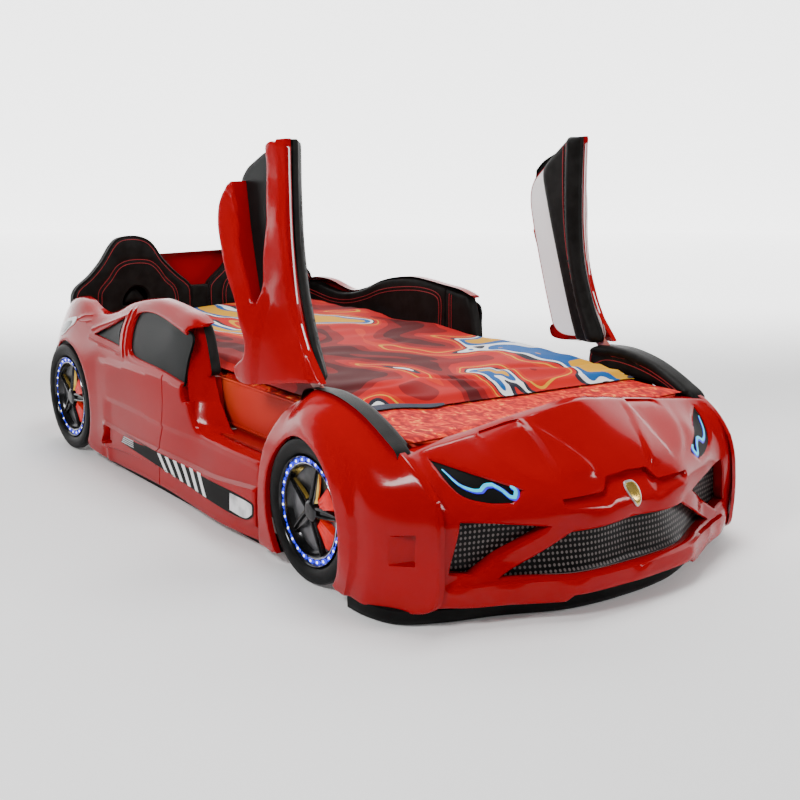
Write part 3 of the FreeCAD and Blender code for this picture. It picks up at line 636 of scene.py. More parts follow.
CROWN = path([(-.482, .430), (-.54, .4625), (-.60, .4665), (-.687, .455), (-.775, .428), (-.845, .395),
              (-.905, .371), (-.957, .337), (-.997, .297)], closed=False)


def fender():
    """Bulging front wheel fender with a flat arch lip and a square pocket."""
    wide = surface([
        (-.352, .05, .562), (-.352, .1, .564), (-.36, .19, .564), (-.39, .30, .558), (-.44, .36, .548),
        (-.482, .43, .530), (-.45, .05, .575), (-.59, .43, .558), (-.59, .40, .572), (-.59, .37, .578),
        (-.70, .42, .558), (-.70, .38, .578), (-.78, .38, .562), (-.80, .30, .590), (-.83, .20, .596),
        (-.82, .08, .594), (-.85, .36, .545), (-.88, .30, .566), (-.90, .20, .572), (-.90, .08, .566),
        (-.93, .33, .518), (-.95, .25, .536), (-.96, .15, .536), (-.95, .06, .532), (-.99, .29, .496),
        (-1.01, .2, .497), (-1.01, .1, .497), (-.905, .368, .502), (-.845, .385, .528), (-.957, .335, .496),
        (-.75, .08, .588)])
    hub = (FRONT_AXLE - 0.006, AXLE_HEIGHT - 0.004)
    start = path([(-.352, .030, 1), (-.357, .188), (-.388, .309), (-.443, .389), (-.482, .430)], False)
    front = path([(-.997, .297), (-1.013, .247), (-1.019, .18), (-1.018, .10), (-1.010, .060), (-.985, .040),
                  (-.90, .034), (-.745, .036, 1)], False)
    arch = turned_arc(hub, 0.190, 225, -46)
    outline = np.concatenate([start[:-1], CROWN[:-1], front, arch, [(-.44, .034)]])
    lip = turned_arc(hub, 0.236, 112, 218)
    pocket = path([(-.976, .222, 1), (-.925, .214, 1), (-.925, .146, 1), (-.976, .150, 1)])

    def place(y, z):
        x = wide(y, z)
        points = np.stack([y, z], axis=1)
        roll = 0.060
        crown_z = np.interp(-y, -CROWN[:, 0], CROWN[:, 1])
        gap = np.clip(crown_z - z, 0, roll)
        overhang = np.maximum(wide(y, crown_z) - 0.499, 0) * smooth_step(y, -.40, -.50)
        x = x - overhang * (1 - gap / roll) ** 2
        radius = np.hypot(y - hub[0], z - hub[1])
        angle = np.degrees(np.arctan2(z - hub[1], y - hub[0])) % 360
        show = smooth_step(angle, 105, 140) * smooth_step(angle, 235, 222)
        x = x - 0.008 * show * smooth_step(radius, 0.2355, 0.243) * smooth_step(radius, 0.300, 0.25)
        sunk = inside(points, pocket) * np.clip(away(points, pocket) / 0.004, 0, 1)
        x = x - 0.022 * sunk * smooth_step(y, -0.915, -0.965)
        return x, y, z

    lines = [lip, turned_arc(hub, 0.244, 112, 218), pocket, moved(pocket, -0.004)]
    for share in (0.12, 0.35, 0.7):
        lines.append(moved_line(CROWN, 0.060 * share))
    return relief(outline, place, (-1, 0, 0), (), lines, (), 0.010, 0.004, 0.0,
                  rims=((0.0, 0.006), (0.0, 0.016)))


def moved_line(line, distance):
    """An open line shifted to its lower side."""
    run = np.gradient(line, axis=0)
    run /= np.hypot(run[:, 0], run[:, 1])[:, None]
    normal = np.stack([run[:, 1], -run[:, 0]], axis=1)
    normal *= np.where(normal[:, 1:] > 0, -1, 1)
    return (line + normal * distance)[2:-2]


def nose():
    """Hood, bumper and lip in one sheet over (x, z), with lamp, intake and grille openings."""
    half = [(0, .442, -.930), (0, .40, -.985), (0, .348, -1.050), (0, .302, -1.090), (0, .236, -1.128),
            (0, .208, -1.122), (0, .10, -1.142), (0, .084, -1.150), (0, .05, -1.148),
            (.09, .430, -.925), (.09, .345, -1.048), (.09, .300, -1.088), (.09, .236, -1.124),
            (.19, .415, -.908), (.19, .36, -.990), (.19, .325, -1.040), (.19, .298, -1.074),
            (.19, .236, -1.108), (.19, .208, -1.104), (.19, .102, -1.122), (.19, .084, -1.130),
            (.19, .05, -1.126), (.33, .394, -.899), (.33, .338, -.988), (.33, .298, -1.024),
            (.33, .24, -1.052), (.33, .212, -1.052), (.33, .15, -1.045), (.33, .104, -1.058),
            (.33, .084, -1.066), (.33, .05, -1.060), (.45, .377, -.890), (.45, .357, -.925),
            (.45, .306, -.976), (.45, .24, -1.014), (.45, .212, -1.016), (.45, .15, -1.012),
            (.45, .104, -1.016), (.45, .084, -1.024), (.45, .05, -1.018), (.49, .372, -.905),
            (.49, .339, -.955), (.49, .299, -.988), (.49, .247, -1.003), (.49, .15, -1.006),
            (.49, .108, -1.004), (.49, .05, -1.000)]
    front = surface(half + [(-x, z, y) for x, z, y in half if x])
    right = [(0, .443), (.10, .431), (.19, .416), (.33, .395), (.45, .378), (.489, .373, 1), (.489, .30),
             (.489, .15), (.489, .052, 1), (.33, .046), (.212, .044, 1), (.196, .058, 1), (.10, .060)]
    outline = path([(-x, *rest) for x, *rest in reversed(right[1:])] + [right[0]] + right[1:] + [(0, .061)])
    lamp = [(.437, .362, 1), (.36, .329), (.276, .295, 1), (.308, .272, 1), (.36, .276), (.408, .294),
            (.428, .324)]
    intake = [(.430, .242, 1), (.33, .229), (.235, .215, 1), (.40, .121, 1), (.455, .130, 1)]
    mouth = [(-.18, .197, 1), (0, .203), (.18, .197, 1), (.345, .107, 1), (.20, .102), (0, .101),
             (-.20, .102), (-.345, .107, 1)]
    holes = [path(mouth)]
    for points in (lamp, intake):
        holes.append(path(points))
        holes.append(path([(-x, *rest) for x, *rest in points]))
    ledge = path([(.200, .273, 1), (.094, .275, 1), (.086, .279), (.066, .303, 1), (0, .306)], False, 0.004)
    ledge = np.concatenate([ledge[:-1], (ledge * np.array([-1, 1]))[::-1]])
    ledge_z = ledge[np.argsort(ledge[:, 0])]
    crease_a = path([(.172, .418), (.174, .36), (.184, .307)], False)
    crease_b = path([(.150, .405), (.110, .360), (.090, .325), (.086, .290)], False)
    brow = path([(.30, .385), (.285, .350), (.250, .318), (.215, .300)], False)
    grooves = [(path([(.286, .3965), (.23, .4045), (.182, .4115)], False), 0.007, 0.016)]
    grooves += [(line * np.array([-1, 1]), half_width, deep) for line, half_width, deep in grooves]

    def place(x, z):
        y = front(x, z)
        across = np.abs(x)
        a = np.interp(z, crease_a[::-1, 1], crease_a[::-1, 0])
        b = np.interp(z, crease_b[::-1, 1], crease_b[::-1, 0])
        low = smooth_step(z, .296, .330) * smooth_step(z, .425, .400)
        ridge = smooth_step(across, b - 0.003, b + 0.007) * smooth_step(across, a + 0.004, a - 0.004)
        y = y - 0.008 * ridge * low
        bow = np.interp(z, brow[::-1, 1], brow[::-1, 0])
        y = y - 0.006 * smooth_step(across, bow + 0.03, bow - 0.004) * smooth_step(across, a + 0.004,
                                                                                   bow) * smooth_step(
            z, .29, .325) * smooth_step(z, .40, .37)
        edge = np.interp(across, ledge_z[ledge_z[:, 0] >= 0][:, 0], ledge_z[ledge_z[:, 0] >= 0][:, 1])
        below = edge - z
        reach = np.interp(across, [0, .07, .095, .20], [.075, .065, .034, .022])
        y = y + 0.015 * smooth_step(below, 0.0, 0.0015) * (1 - smooth_step(below / reach, 0.05,
                                                                           1.0)) * smooth_step(
            across, .202, .190)
        y = y - 0.010 * smooth_step(.100 - z, 0.0, 0.004) * smooth_step(across, .47, .40)
        return x, y, z

    lines = []
    for line in (crease_a, crease_b, brow):
        for shift in (-0.004, 0.004):
            lines += [(line + np.array([shift, 0])) * np.array([side, 1]) for side in (-1, 1)]
    lines += [ledge, ledge - np.array([0, 0.0018]), path([(-.46, .100), (.46, .100)], False),
              path([(-.46, .096), (.46, .096)], False)]
    return relief(outline, place, (0, 1, 0), holes, lines, grooves, 0.009, 0.004, 0.004,
                  rims=((0.0, 0.030),), hole_rims=((0.0, 0.012), (-0.004, 0.034))), place, lamp, intake, mouth


# ---------------------------------------------------------------- doors (raised at rest)

def door_skin():
    """Outer skin of a raised door: front pillar, flared foot and lower panel round a V-shaped notch."""
    front = path([(-.567, .480), (-.491, .573), (-.449, .688), (-.430, .793), (-.424, .918),
                  (-.423, 1.052)], False)
    outline = np.concatenate([
        front[:-1],
        path([(-.423, 1.052, 1), (-.400, 1.050, 1), (-.398, 1.043, 1), (-.378, 1.045), (-.358, 1.034),
              (-.355, 1.020, 1), (-.352, .916), (-.349, .831), (-.336, .740), (-.322, .665), (-.314, .650),
              (-.304, .652), (-.296, .668), (-.262, .800), (-.236, .946, 1), (-.222, .944), (-.205, .925, 1),
              (-.196, .915), (-.182, .885), (-.181, .834), (-.204, .765), (-.241, .679), (-.282, .594),
              (-.302, .545), (-.296, .512), (-.262, .490), (-.242, .473), (-.252, .449), (-.291, .442),
              (-.37, .452), (-.45, .466), (-.541, .479), (-.567, .480)], False)[:-1]])
    wide = surface([
        (-.567, .48, .509), (-.49, .573, .509), (-.44, .70, .509), (-.424, .9, .509), (-.423, 1.05, .509),
        (-.52, .48, .518), (-.46, .56, .518), (-.41, .70, .517), (-.39, .85, .516), (-.39, 1.04, .516),
        (-.355, 1.0, .514), (-.352, .85, .515), (-.33, .70, .518), (-.40, .48, .542), (-.38, .60, .532),
        (-.30, .46, .556), (-.255, .46, .558), (-.31, .56, .552), (-.29, .62, .552), (-.25, .71, .556),
        (-.21, .80, .558), (-.20, .92, .552), (-.235, .93, .546), (-.27, .80, .545), (-.31, .64, .534)])
    flange = path([(-.540, .479), (-.457, .650), (-.422, .793), (-.413, .918), (-.409, 1.046)], False)
    reveal = path([(-.224, .938), (-.275, .785), (-.306, .670), (-.314, .636)], False)
    swage = path([(-.332, .450), (-.335, .52), (-.342, .60), (-.352, .68)], False)

    def place(y, z):
        x = wide(y, z)
        points = np.stack([y, z], axis=1)
        line = np.interp(z, flange[:, 1], flange[:, 0])
        x = x - 0.005 * smooth_step(y, line + 0.005, line - 0.003)
        gap = away(points, reveal, False)
        x = x - 0.005 * np.clip(1 - np.abs(gap - 0.004) / 0.004, 0, 1)
        crest = np.interp(z, swage[:, 1], swage[:, 0])
        show = smooth_step(z, .70, .60) * smooth_step(y, -.24, -.32)
        x = x + 0.007 * smooth_step(y, crest - 0.016, crest) * show
        return x, y, z

    lines = [(flange + np.array([shift, 0]))[3:-3] for shift in (-0.003, 0.001, 0.005)]
    lines += [swage, swage - np.array([0.016, 0]), reveal]

    def depth(y, z):
        width = float(place(np.array([y]), np.array([z]))[0][0])
        if y < -.40:
            return width - 0.484
        return width - 0.500 if y < -.20 and z > .62 else 0.018

    return relief(outline, place, (-1, 0, 0), (), lines, (), 0.010, 0.004, 0.0,
                  rims=((0.0, 0.006), (0.0, depth)))


def flat_piece(outline, x_out, x_in, edge=0.003, lines=(), bulge=None, step=0.010):
    """A plate over a (y, z) outline whose outer face is at x_out and whose back is at x_in."""
    way = 1 if x_in > x_out else -1

    def place(y, z):
        x = np.full(len(y), float(x_out))
        if bulge is not None:
            x = x - way * bulge(y, z)
        return x, y, z

    return relief(outline, place, (way, 0, 0), (), lines, (), step, edge, 0.0,
                  rims=((0.0, abs(x_in - x_out)),))


def back_cover(outline, x):
    """A plain closing face at x over an outline."""
    points = [Vector(point) for point in outline]
    edges = [(index, (index + 1) % len(points)) for index in range(len(points))]
    made = delaunay_2d_cdt(points, edges, [], 1, 1e-6, False)
    verts = np.array([(x, vert[0], vert[1]) for vert in made[0]])
    return verts, [tuple(face) for face in made[2]]


def merged(*parts):
    """Several vertex and face sets as one."""
    verts, faces, start = [], [], 0
    for points, cells in parts:
        verts.append(np.array(points, float))
        faces += [tuple(index + start for index in cell) for cell in cells]
        start += len(points)
    return np.concatenate(verts), faces


DOOR_TRIM = [(-.535, .480), (-.491, .573), (-.449, .688), (-.432, .793), (-.426, .918), (-.427, 1.050, 1),
             (-.385, 1.050, 1), (-.285, .965), (-.276, .945), (-.300, .850), (-.400, .560),
             (-.437, .470, 1), (-.50, .469)]
DOOR_WINDOW = [(-.392, .700), (-.388, 1.020, 1), (-.346, 1.021), (-.286, .998), (-.241, .976),
               (-.212, .950, 1), (-.210, .90), (-.225, .80), (-.275, .63, 1), (-.36, .62)]
DOOR_LINING = [(-.525, .487), (-.462, .640), (-.436, .800), (-.430, .950), (-.430, 1.030, 1), (-.376, 1.046),
               (-.276, .975), (-.212, .915), (-.201, .885), (-.203, .840), (-.300, .530), (-.318, .492),
               (-.350, .474), (-.45, .478)]


def doors():
    """Skins, windows, linings, leather trims, stitching and hinge arms of both doors."""
    skins = both_sides("door_skin", door_skin())
    window = both_sides("door_pane", flat_piece(path(DOOR_WINDOW), 0.5045, 0.497, 0.002))
    lining_path = path(DOOR_LINING)
    lining = both_sides("door_liner", flat_piece(lining_path, 0.4895, 0.4945, 0.002))
    trim_path = path(DOOR_TRIM)
    roll = path([(-.505, .486), (-.466, .573), (-.428, .688), (-.408, .793), (-.400, .918), (-.400, 1.040)],
                False)

    def puff(y, z):
        points = np.stack([y, z], axis=1)
        gap = away(points, roll, False)
        height = 0.016 * np.sqrt(np.maximum(1 - (gap / 0.020) ** 2, 0))
        edge = np.clip(away(points, trim_path) / 0.012, 0, 1)
        return height * np.sqrt(edge) + 0.004 * edge

    lines = [roll] + [roll + np.array([shift, 0]) for shift in (-0.019, -0.010, 0.010, 0.019)]
    trim = both_sides("door_pad", flat_piece(trim_path, 0.464, 0.480, 0.004, lines, puff, 0.008))
    arm_path = path([(-.558, .448), (-.545, .443), (-.500, .470), (-.452, .530), (-.460, .560), (-.480, .556),
                     (-.508, .500), (-.552, .470)])
    arm = both_sides("door_hinge_arm", merged(flat_piece(arm_path, 0.4885, 0.481, 0.001),
                                              back_cover(arm_path, 0.481)))
    for side, sign in SIDES.items():
        body = side + "_door"
        finish_piece(skins[side], RED, body, "body_red", "door_shell_" + side)
        finish_piece(window[side], GLASS, body, "window", "door_window_" + side)
        finish_piece(lining[side], LINING, body, "lining", "door_lining_" + side)
        finish_piece(trim[side], LEATHER, body, "leather", "door_trim_" + side)
        finish_piece(arm[side], ARM, body, "steel", "door_arm_" + side)
        rim = tube("door_lining_edge_" + side, [(sign * 0.4892, y, z) for y, z in lining_path], 0.0011, True)
        finish_piece(rim, THREAD, body, "body_red")
        for index, shift in enumerate((0.024, 0.036)):
            seam = [(sign * 0.4592, y + shift * (0.55 + 0.45 * (z - .48) / .57), z) for y, z in roll]
            seam = [point for point in seam if inside(np.array([point[1:]]), moved(trim_path, -0.004))[0]]
            stitch = tube("door_stitch_%d_%s" % (index, side), seam, 0.0011)
            finish_piece(stitch, THREAD, body, "leather")


# ---------------------------------------------------------------- wheels

def wheels():
    """Tyre, rim with star spokes, light ring, disc and calipers for each of the four wheels."""
    tyre = lathe([(-0.030, 0.136), (-0.038, 0.145), (-0.040, 0.160), (-0.034, 0.174), (-0.022, 0.1795),
                  (-0.010, 0.1795), (-0.003, 0.1765), (0.0, 0.170), (0.0005, 0.162), (-0.001, 0.153),
                  (-0.004, 0.144), (-0.010, 0.138), (-0.020, 0.1365)], 128)
    barrel = lathe([(-0.030, 0.140), (-0.028, 0.1360), (-0.007, 0.1370), (-0.004, 0.1350), (-0.006, 0.1330),
                    (-0.012, 0.1315), (-0.013, 0.1195), (-0.011, 0.1180), (-0.008, 0.1165), (-0.010, 0.1135),
                    (-0.022, 0.111), (-0.031, 0.100)], 128)
    disc = lathe([(-0.030, 0.112), (-0.026, 0.100), (-0.028, 0.080), (-0.031, 0.060), (-0.029, 0.040),
                  (-0.028, 0.0)], 96)
    hub = lathe([(-0.030, 0.030), (-0.012, 0.026), (-0.009, 0.022), (-0.0075, 0.016), (-0.0085, 0.0)], 48)
    rows = []
    for turn in np.radians(np.linspace(-38, 218, 60)):
        rows.append([(-0.022, radius * math.cos(turn), radius * math.sin(turn)) for radius in (0.172, 0.190,
                                                                                               0.205)])
    well = grid_faces(rows)
    slots = {"front": FRONT_AXLE, "rear": REAR_AXLE}
    for side, sign in SIDES.items():
        for end, axle in slots.items():
            tag = "%s_%s" % (end, side)
            place = np.array([WHEEL_FACE, axle, AXLE_HEIGHT])

            def put(name, data, smooth=40):
                verts, faces = data
                verts = verts + place
                if sign < 0:
                    verts = verts * np.array([-1, 1, 1])
                    faces = [tuple(reversed(face)) for face in faces]
                return new_object(name + "_" + tag, verts, faces, smooth)

            finish_piece(put("tyre", tyre), TYRE, "bed", "tyre", "tyre_" + tag)
            finish_piece(put("rim_barrel", barrel), CHROME, "bed", "rim", "rims")
            finish_piece(put("brake_disc", disc), DISC, "bed", "brake_disc", "brake_discs")
            finish_piece(put("hub_cap", hub), CHROME, "bed", "cap", "wheel_caps")
            spokes, inlays = [], []
            for index in range(5):
                angle = math.radians(90 + 72 * index + 14)
                spokes.append(spoke(angle))
                inlays.append(inlay(angle))
            finish_piece(put("spokes", merged(*spokes), 30), CHROME, "bed", "rim")
            finish_piece(put("spoke_inlays", merged(*inlays), 30), GOLD, "bed", "rim")
            lip = tube("rim_lip_" + tag, [sign_point(sign, place + np.array([-0.0105, 0.1172 * math.cos(a),
                                                                             0.1172 * math.sin(a)]))
                                          for a in np.linspace(0, 2 * math.pi, 121)[:-1]], 0.0014, True)
            finish_piece(lip, BRIGHT, "bed", "rim")
            glow, core = [], []
            for index in range(26):
                angle = 2 * math.pi * (index + 0.5) / 26
                centre = np.array([-0.0118, 0.1255 * math.cos(angle), 0.1255 * math.sin(angle)])
                glow.append(dot(centre, 0.0072, 0.0016, angle, 2.0))
                core.append(dot(centre + np.array([0.0010, 0, 0]), 0.0036, 0.0026, angle, 1.0))
            finish_piece(put("light_glow", merged(*glow)), LED_GLOW, "bed", "light_ring", "light_rings")
            finish_piece(put("light_dots", merged(*core)), LED_CORE, "bed", "light_ring")
            finish_piece(put("wheel_well", well), BLACK, "bed", "plinth")
            grips = [caliper_shape(math.radians(base)) for base in (150, 214)]
            finish_piece(put("calipers", merged(*grips), 35), CALIPER, "bed", "caliper", "brake_calipers")


def sign_point(sign, point):
    """A right-hand point, mirrored for the left when the sign is -1."""
    return (sign * point[0], point[1], point[2])


def dot(centre, radius, rise, angle, stretch):
    """A small round lens that faces out along X, longer round the wheel."""
    verts = [centre + np.array([rise, 0, 0])]
    faces = []
    for ring, share in enumerate((0.6, 1.0), start=1):
        for index in range(14):
            turn = 2 * math.pi * index / 14
            radial, along = radius * share * math.cos(turn), radius * share * math.sin(turn) * stretch
            verts.append(centre + np.array([rise * (1 - share ** 2),
                                            radial * math.cos(angle) - along * math.sin(angle),
                                            radial * math.sin(angle) + along * math.cos(angle)]))
    for index in range(14):
        after = (index + 1) % 14
        faces.append((0, 1 + index, 1 + after))
        faces.append((1 + index, 15 + index, 15 + after, 1 + after))
    return np.array(verts), faces


def turned(points, angle):
    """Points (out, along, across) turned so that along points at an angle in the wheel's plane."""
    points = np.array(points, float)
    c, s = math.cos(angle), math.sin(angle)
    return np.stack([points[:, 0], points[:, 1] * c - points[:, 2] * s,
                     points[:, 1] * s + points[:, 2] * c], axis=1)


def spoke(angle):
    """One split spoke: two raised bars that meet at the rim, hollow between them."""
    rows = []
    for radius, half, out in ((0.018, 0.012, -0.012), (0.040, 0.0135, -0.013), (0.070, 0.0115, -0.015),
                              (0.095, 0.0085, -0.016), (0.112, 0.0055, -0.0165), (0.117, 0.0045, -0.017)):
        rows.append([(out - 0.016, radius, -half), (out - 0.001, radius, -half),
                     (out + 0.0015, radius, -half * 0.8), (out + 0.0005, radius, -half * 0.5),
                     (out - 0.006, radius, -half * 0.25), (out - 0.006, radius, half * 0.25),
                     (out + 0.0005, radius, half * 0.5), (out + 0.0015, radius, half * 0.8),
                     (out - 0.001, radius, half), (out - 0.016, radius, half)])
    verts, faces = grid_faces(rows)
    return turned(verts, angle), faces


def inlay(angle):
    """Gold flank along one side of a spoke."""
    rows = []
    for radius, half, out in ((0.028, 0.0138, -0.0128), (0.055, 0.0134, -0.0145), (0.085, 0.0108, -0.0162),
                              (0.104, 0.0078, -0.0172)):
        width = 0.0050 * (1 - (radius - 0.028) / 0.09)
        rows.append([(out - 0.008, radius, half + width), (out - 0.002, radius, half + 0.3 * width),
                     (out, radius, half - 0.0010)])
    verts, faces = grid_faces(rows)
    return turned(verts, angle), [tuple(reversed(face)) for face in faces]


def caliper_shape(angle):
    """A ribbed block that grips the disc near the rim."""
    rows = []
    for index, turn in enumerate(np.linspace(-0.34, 0.34, 9)):
        step = 0.0022 if index % 2 else 0.0
        section = [(-0.030, 0.034), (-0.0200, 0.036), (-0.0165 + step, 0.042), (-0.0160 + step, 0.072),
                   (-0.0150 + step, 0.100), (-0.0185, 0.108), (-0.030, 0.1090)]
        pinch = 1.0 if 0 < index < 8 else 0.0
        rows.append([(out if pinch else -0.030, radius * math.cos(angle + turn),
                      radius * math.sin(angle + turn))
                     for out, radius in section])
    return grid_faces(rows)


# ---------------------------------------------------------------- nose fittings

def nose_parts(place, lamp, intake, mouth):
    """Lamp glasses with light strips, intake and grille meshes behind their openings, plain badge."""
    def panel(outline, back, material_used, name, slot, node, bulge=0.0):
        def behind(x, z):
            points = np.stack([x, z], axis=1)
            _, y, _ = place(x, z)
            rise = bulge * np.clip(away(points, outline) / 0.02, 0, 1)
            return x, y + back - rise, z
        wider = moved(outline, 0.003)
        obj = new_object(name, *relief(wider, behind, (0, 1, 0), (), (), (), 0.010, 0.0, 0.0,
                                       rims=((0.0, 0.004),)))
        return finish_piece(obj, material_used, "bed", slot, node)

    panel(path(mouth), 0.030, FRONT_GRILLE, "grille_mesh", "grille", "grille_centre")
    for side, sign in SIDES.items():
        def flip(points):
            return [(sign * x, *rest) for x, *rest in points]

        panel(path(flip(intake)), 0.034, FRONT_GRILLE, "intake_mesh_" + side, "grille", "side_grilles")
        panel(path(flip(lamp)), 0.007, BLACK, "lamp_glass_" + side, "lamp", "headlight_" + side, 0.004)
        line = path([(.424, .345), (.405, .316), (.380, .303), (.366, .302, 1), (.352, .311), (.338, .312, 1),
                     (.322, .300), (.311, .287), (.300, .284, 1), (.293, .298), (.300, .307)], False, 0.002)
        widths = np.interp(np.linspace(0, 1, len(line)), [0, .3, .5, .75, 1],
                           [.0014, .0030, .0034, .0034, .0042])
        strips = (("lamp_strip_", 1.0, 0.0, CYAN), ("lamp_halo_", 1.5, 0.0012, VIOLET))
        for name, spread, lift, used in strips:
            run = np.gradient(line, axis=0)
            run /= np.hypot(run[:, 0], run[:, 1])[:, None]
            normal = np.stack([run[:, 1], -run[:, 0]], axis=1)
            rows = []
            for share in (-1, 0, 1):
                spot = line + normal * (share * widths * spread)[:, None]
                if name == "lamp_halo_":
                    spot = spot - np.array([0.0022, 0.0022])
                x, y, z = place(spot[:, 0] * sign, spot[:, 1])
                rise = -0.0035 - (0.0006 if share == 0 else 0)
                rows.append(np.stack([x, y + 0.005 + rise + lift, z], axis=1))
            strip = new_object(name + side, *grid_faces(rows))
            finish_piece(strip, used, "bed", "light_strip", "light_strips")
    shield = path([(0, .283), (.014, .281), (.020, .272), (.018, .255), (.010, .238), (0, .228),
                   (-.010, .238), (-.018, .255), (-.020, .272), (-.014, .281)], step=0.003)

    def badge_place(x, z):
        _, y, _ = place(x, z)
        return x, y - 0.004, z

    badge = new_object("badge", *relief(shield, badge_place, (0, 1, 0), (), (), (), 0.004, 0.0015, 0.0,
                                        rims=((0, .005),)))
    finish_piece(badge, SILVER, "bed", "badge", "nose_badge")
    inner = moved(shield, -0.003)

    def inlay_place(x, z):
        _, y, _ = place(x, z)
        return x, y - 0.0048, z

    face = new_object("badge_face", *relief(inner, inlay_place, (0, 1, 0), (), (), (), 0.004, 0.0008, 0.0,
                                            rims=((0, .001),)))
    finish_piece(face, GOLD, "bed", "badge")


# ---------------------------------------------------------------- side panels of the bed

def on_skin(name, outline, place, lift, used, slot, *nodes, step=0.012):
    """A thin badge or band that follows the side skin, on both sides."""
    def raised(y, z):
        x, _, _ = place(y, z)
        return x + lift, y, z

    pair = both_sides(name, relief(outline, raised, (-1, 0, 0), (), (), (), step, 0.0, 0.0,
                                   rims=((0.0, lift + 0.001),)))
    for obj in pair.values():
        finish_piece(obj, used, "bed", slot, *nodes)


def sides():
    """Red skins with windows, bands and badges, and the fenders in front."""
    data, place = side_skin()
    for side, obj in both_sides("side_shell", data).items():
        finish_piece(obj, RED, "bed", "body_red", "side_skin_" + side)
    for obj in both_sides("pillar_face", pillar_face()).values():
        finish_piece(obj, RED, "bed", "body_red")
    for side, obj in both_sides("front_wing", fender()).items():
        finish_piece(obj, RED, "bed", "body_red", "front_fender_" + side)
    window = path([(.066, .505), (.17, .525), (.25, .537), (.34, .544), (.43, .534), (.470, .487),
                   (.474, .450), (.460, .410), (.437, .396), (.229, .382), (.083, .366, 1), (.075, .435)])
    corner = path([(.526, .512, 1), (.556, .455), (.534, .405, 1), (.745, .418, 1)])
    for name, outline, node in (("quarter_pane", window, "quarter_windows"),
                                ("corner_pane", corner, "corner_windows")):
        on_skin(name, outline, place, -0.0085, GLASS, "window", node, step=0.02)
    band = path([(.470, .149, 1), (.228, .147), (-.02, .141), (-.315, .137), (-.338, .132),
                 (-.336, .100, 1), (-.30, .082), (-.06, .086), (.186, .101), (.498, .120, 1)])
    on_skin("sill_band", band, place, 0.0008, BLACK, "band", "sill_bands")
    for index in range(6):
        top = .228 - .0495 * index
        low = top - .043
        stripe = path([(top, .1455, 1), (top - .020, .1455, 1), (low - .020, .0985 - .0022 * index, 1),
                       (low, .0985 - .0022 * index, 1)])
        on_skin("band_stripe_%d" % index, stripe, place, 0.0016, WHITE, "band", step=0.02)
    for index in range(4):
        level = .1435 - .0062 * index
        line = path([(.470 + .006 * index, level, 1), (.40, level, 1), (.40, level - .003, 1),
                     (.473 + .006 * index, level - .003, 1)])
        on_skin("band_line_%d" % index, line, place, 0.0016, SILVER, "band", step=0.02)
    tip = path([(-.215, .134, 1), (-.312, .132), (-.331, .128), (-.330, .104, 1), (-.298, .086),
                (-.215, .087, 1)])
    on_skin("band_tip", tip, place, 0.0016, SILVER, "band", step=0.02)
    disc = [(1.042, .381), (1.036, .402), (1.012, .424), (.958, .448), (.892, .457), (.900, .440),
            (.945, .414), (.994, .388)]
    on_skin("quarter_badge", path(disc), place, 0.003, WHITE, "badge", "quarter_discs")
    centre = np.array([.967, .420])
    inner = path([tuple(centre + (np.array(point) - centre) * 0.62) for point in disc])
    on_skin("quarter_badge_face", inner, place, 0.0045, CHROME, "badge")


def lower_parts():
    """Shelves between the sills and the mattress, the tail panel, and the black skirt under the nose, which
    is partly painted shadow.
    """
    shelf = path([(.430, -.40, 1), (.500, -.40, 1), (.500, -.03, 1), (.430, -.03, 1)])

    def shelf_place(x, y):
        return x, y, np.full(len(x), MATTRESS_LOW[2] + 0.0015)

    for side, sign in SIDES.items():
        verts, faces = relief(shelf, shelf_place, (0, 0, -1), (), (), (), 0.02, 0.0, 0.0,
                              rims=((0.0, 0.006),))
        faces = faces if sign > 0 else [tuple(reversed(face)) for face in faces]
        finish_piece(new_object("sill_shelf_" + side, verts * np.array([sign, 1, 1]), faces), BOARD, "bed",
                     "board")
    low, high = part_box("rear_panel")
    tail = path([(-.470, .040, 1), (.470, .040, 1), (.470, .440, 1), (.400, .520), (.300, .600),
                 (.262, .624, 1), (-.262, .624, 1), (-.300, .600), (-.400, .520), (-.470, .440, 1)])
    recess = path([(-.300, .230, 1), (.300, .230, 1), (.330, .400), (.280, .430, 1), (-.280, .430, 1),
                   (-.330, .400)])

    def tail_place(x, z):
        sunk = inside(np.stack([x, z], axis=1), recess) * np.clip(away(np.stack([x, z], axis=1),
                                                                       recess) / 0.012, 0, 1)
        return x, high[1] - 0.006 * sunk, z

    seam = [(path([(-.455, .150), (.455, .150)], False), 0.004, 0.004)]
    panel = new_object("tail_shell", *relief(tail, tail_place, (0, -1, 0), (),
                                             [recess, moved(recess, -0.012)], seam, 0.016, 0.008, 0.0,
                                             rims=((0.0, high[1] - low[1]),)))
    finish_piece(panel, RED, "bed", "body_red", "rear_panel")
    # Black skirt under the nose: partly the black plinth, and, brought down to the floor along the nose's
    # line, partly painted shadow under the nose.
    right = [(0, -1.118), (.095, -1.114), (.190, -1.096), (.330, -1.036), (.455, -.994), (.545, -.940),
             (.575, -.860), (.578, -.790, 1)]
    line = path([(-x, *rest) for x, *rest in reversed(right[1:])] + right, False, 0.012)
    rows = [np.stack([line[:, 0] * scale, line[:, 1] * scale, np.full(len(line), height)], axis=1)
            for scale, height in ((0.96, 0.050), (0.985, 0.048), (1.0, 0.040), (0.999, 0.020),
                                  (0.985, 0.003), (0.96, 0.002))]
    skirt = new_object("nose_plinth_painted_shadow", *grid_faces(rows))
    finish_piece(skirt, BLACK, "bed", "plinth", "plinth_front")


# ---------------------------------------------------------------- upholstery

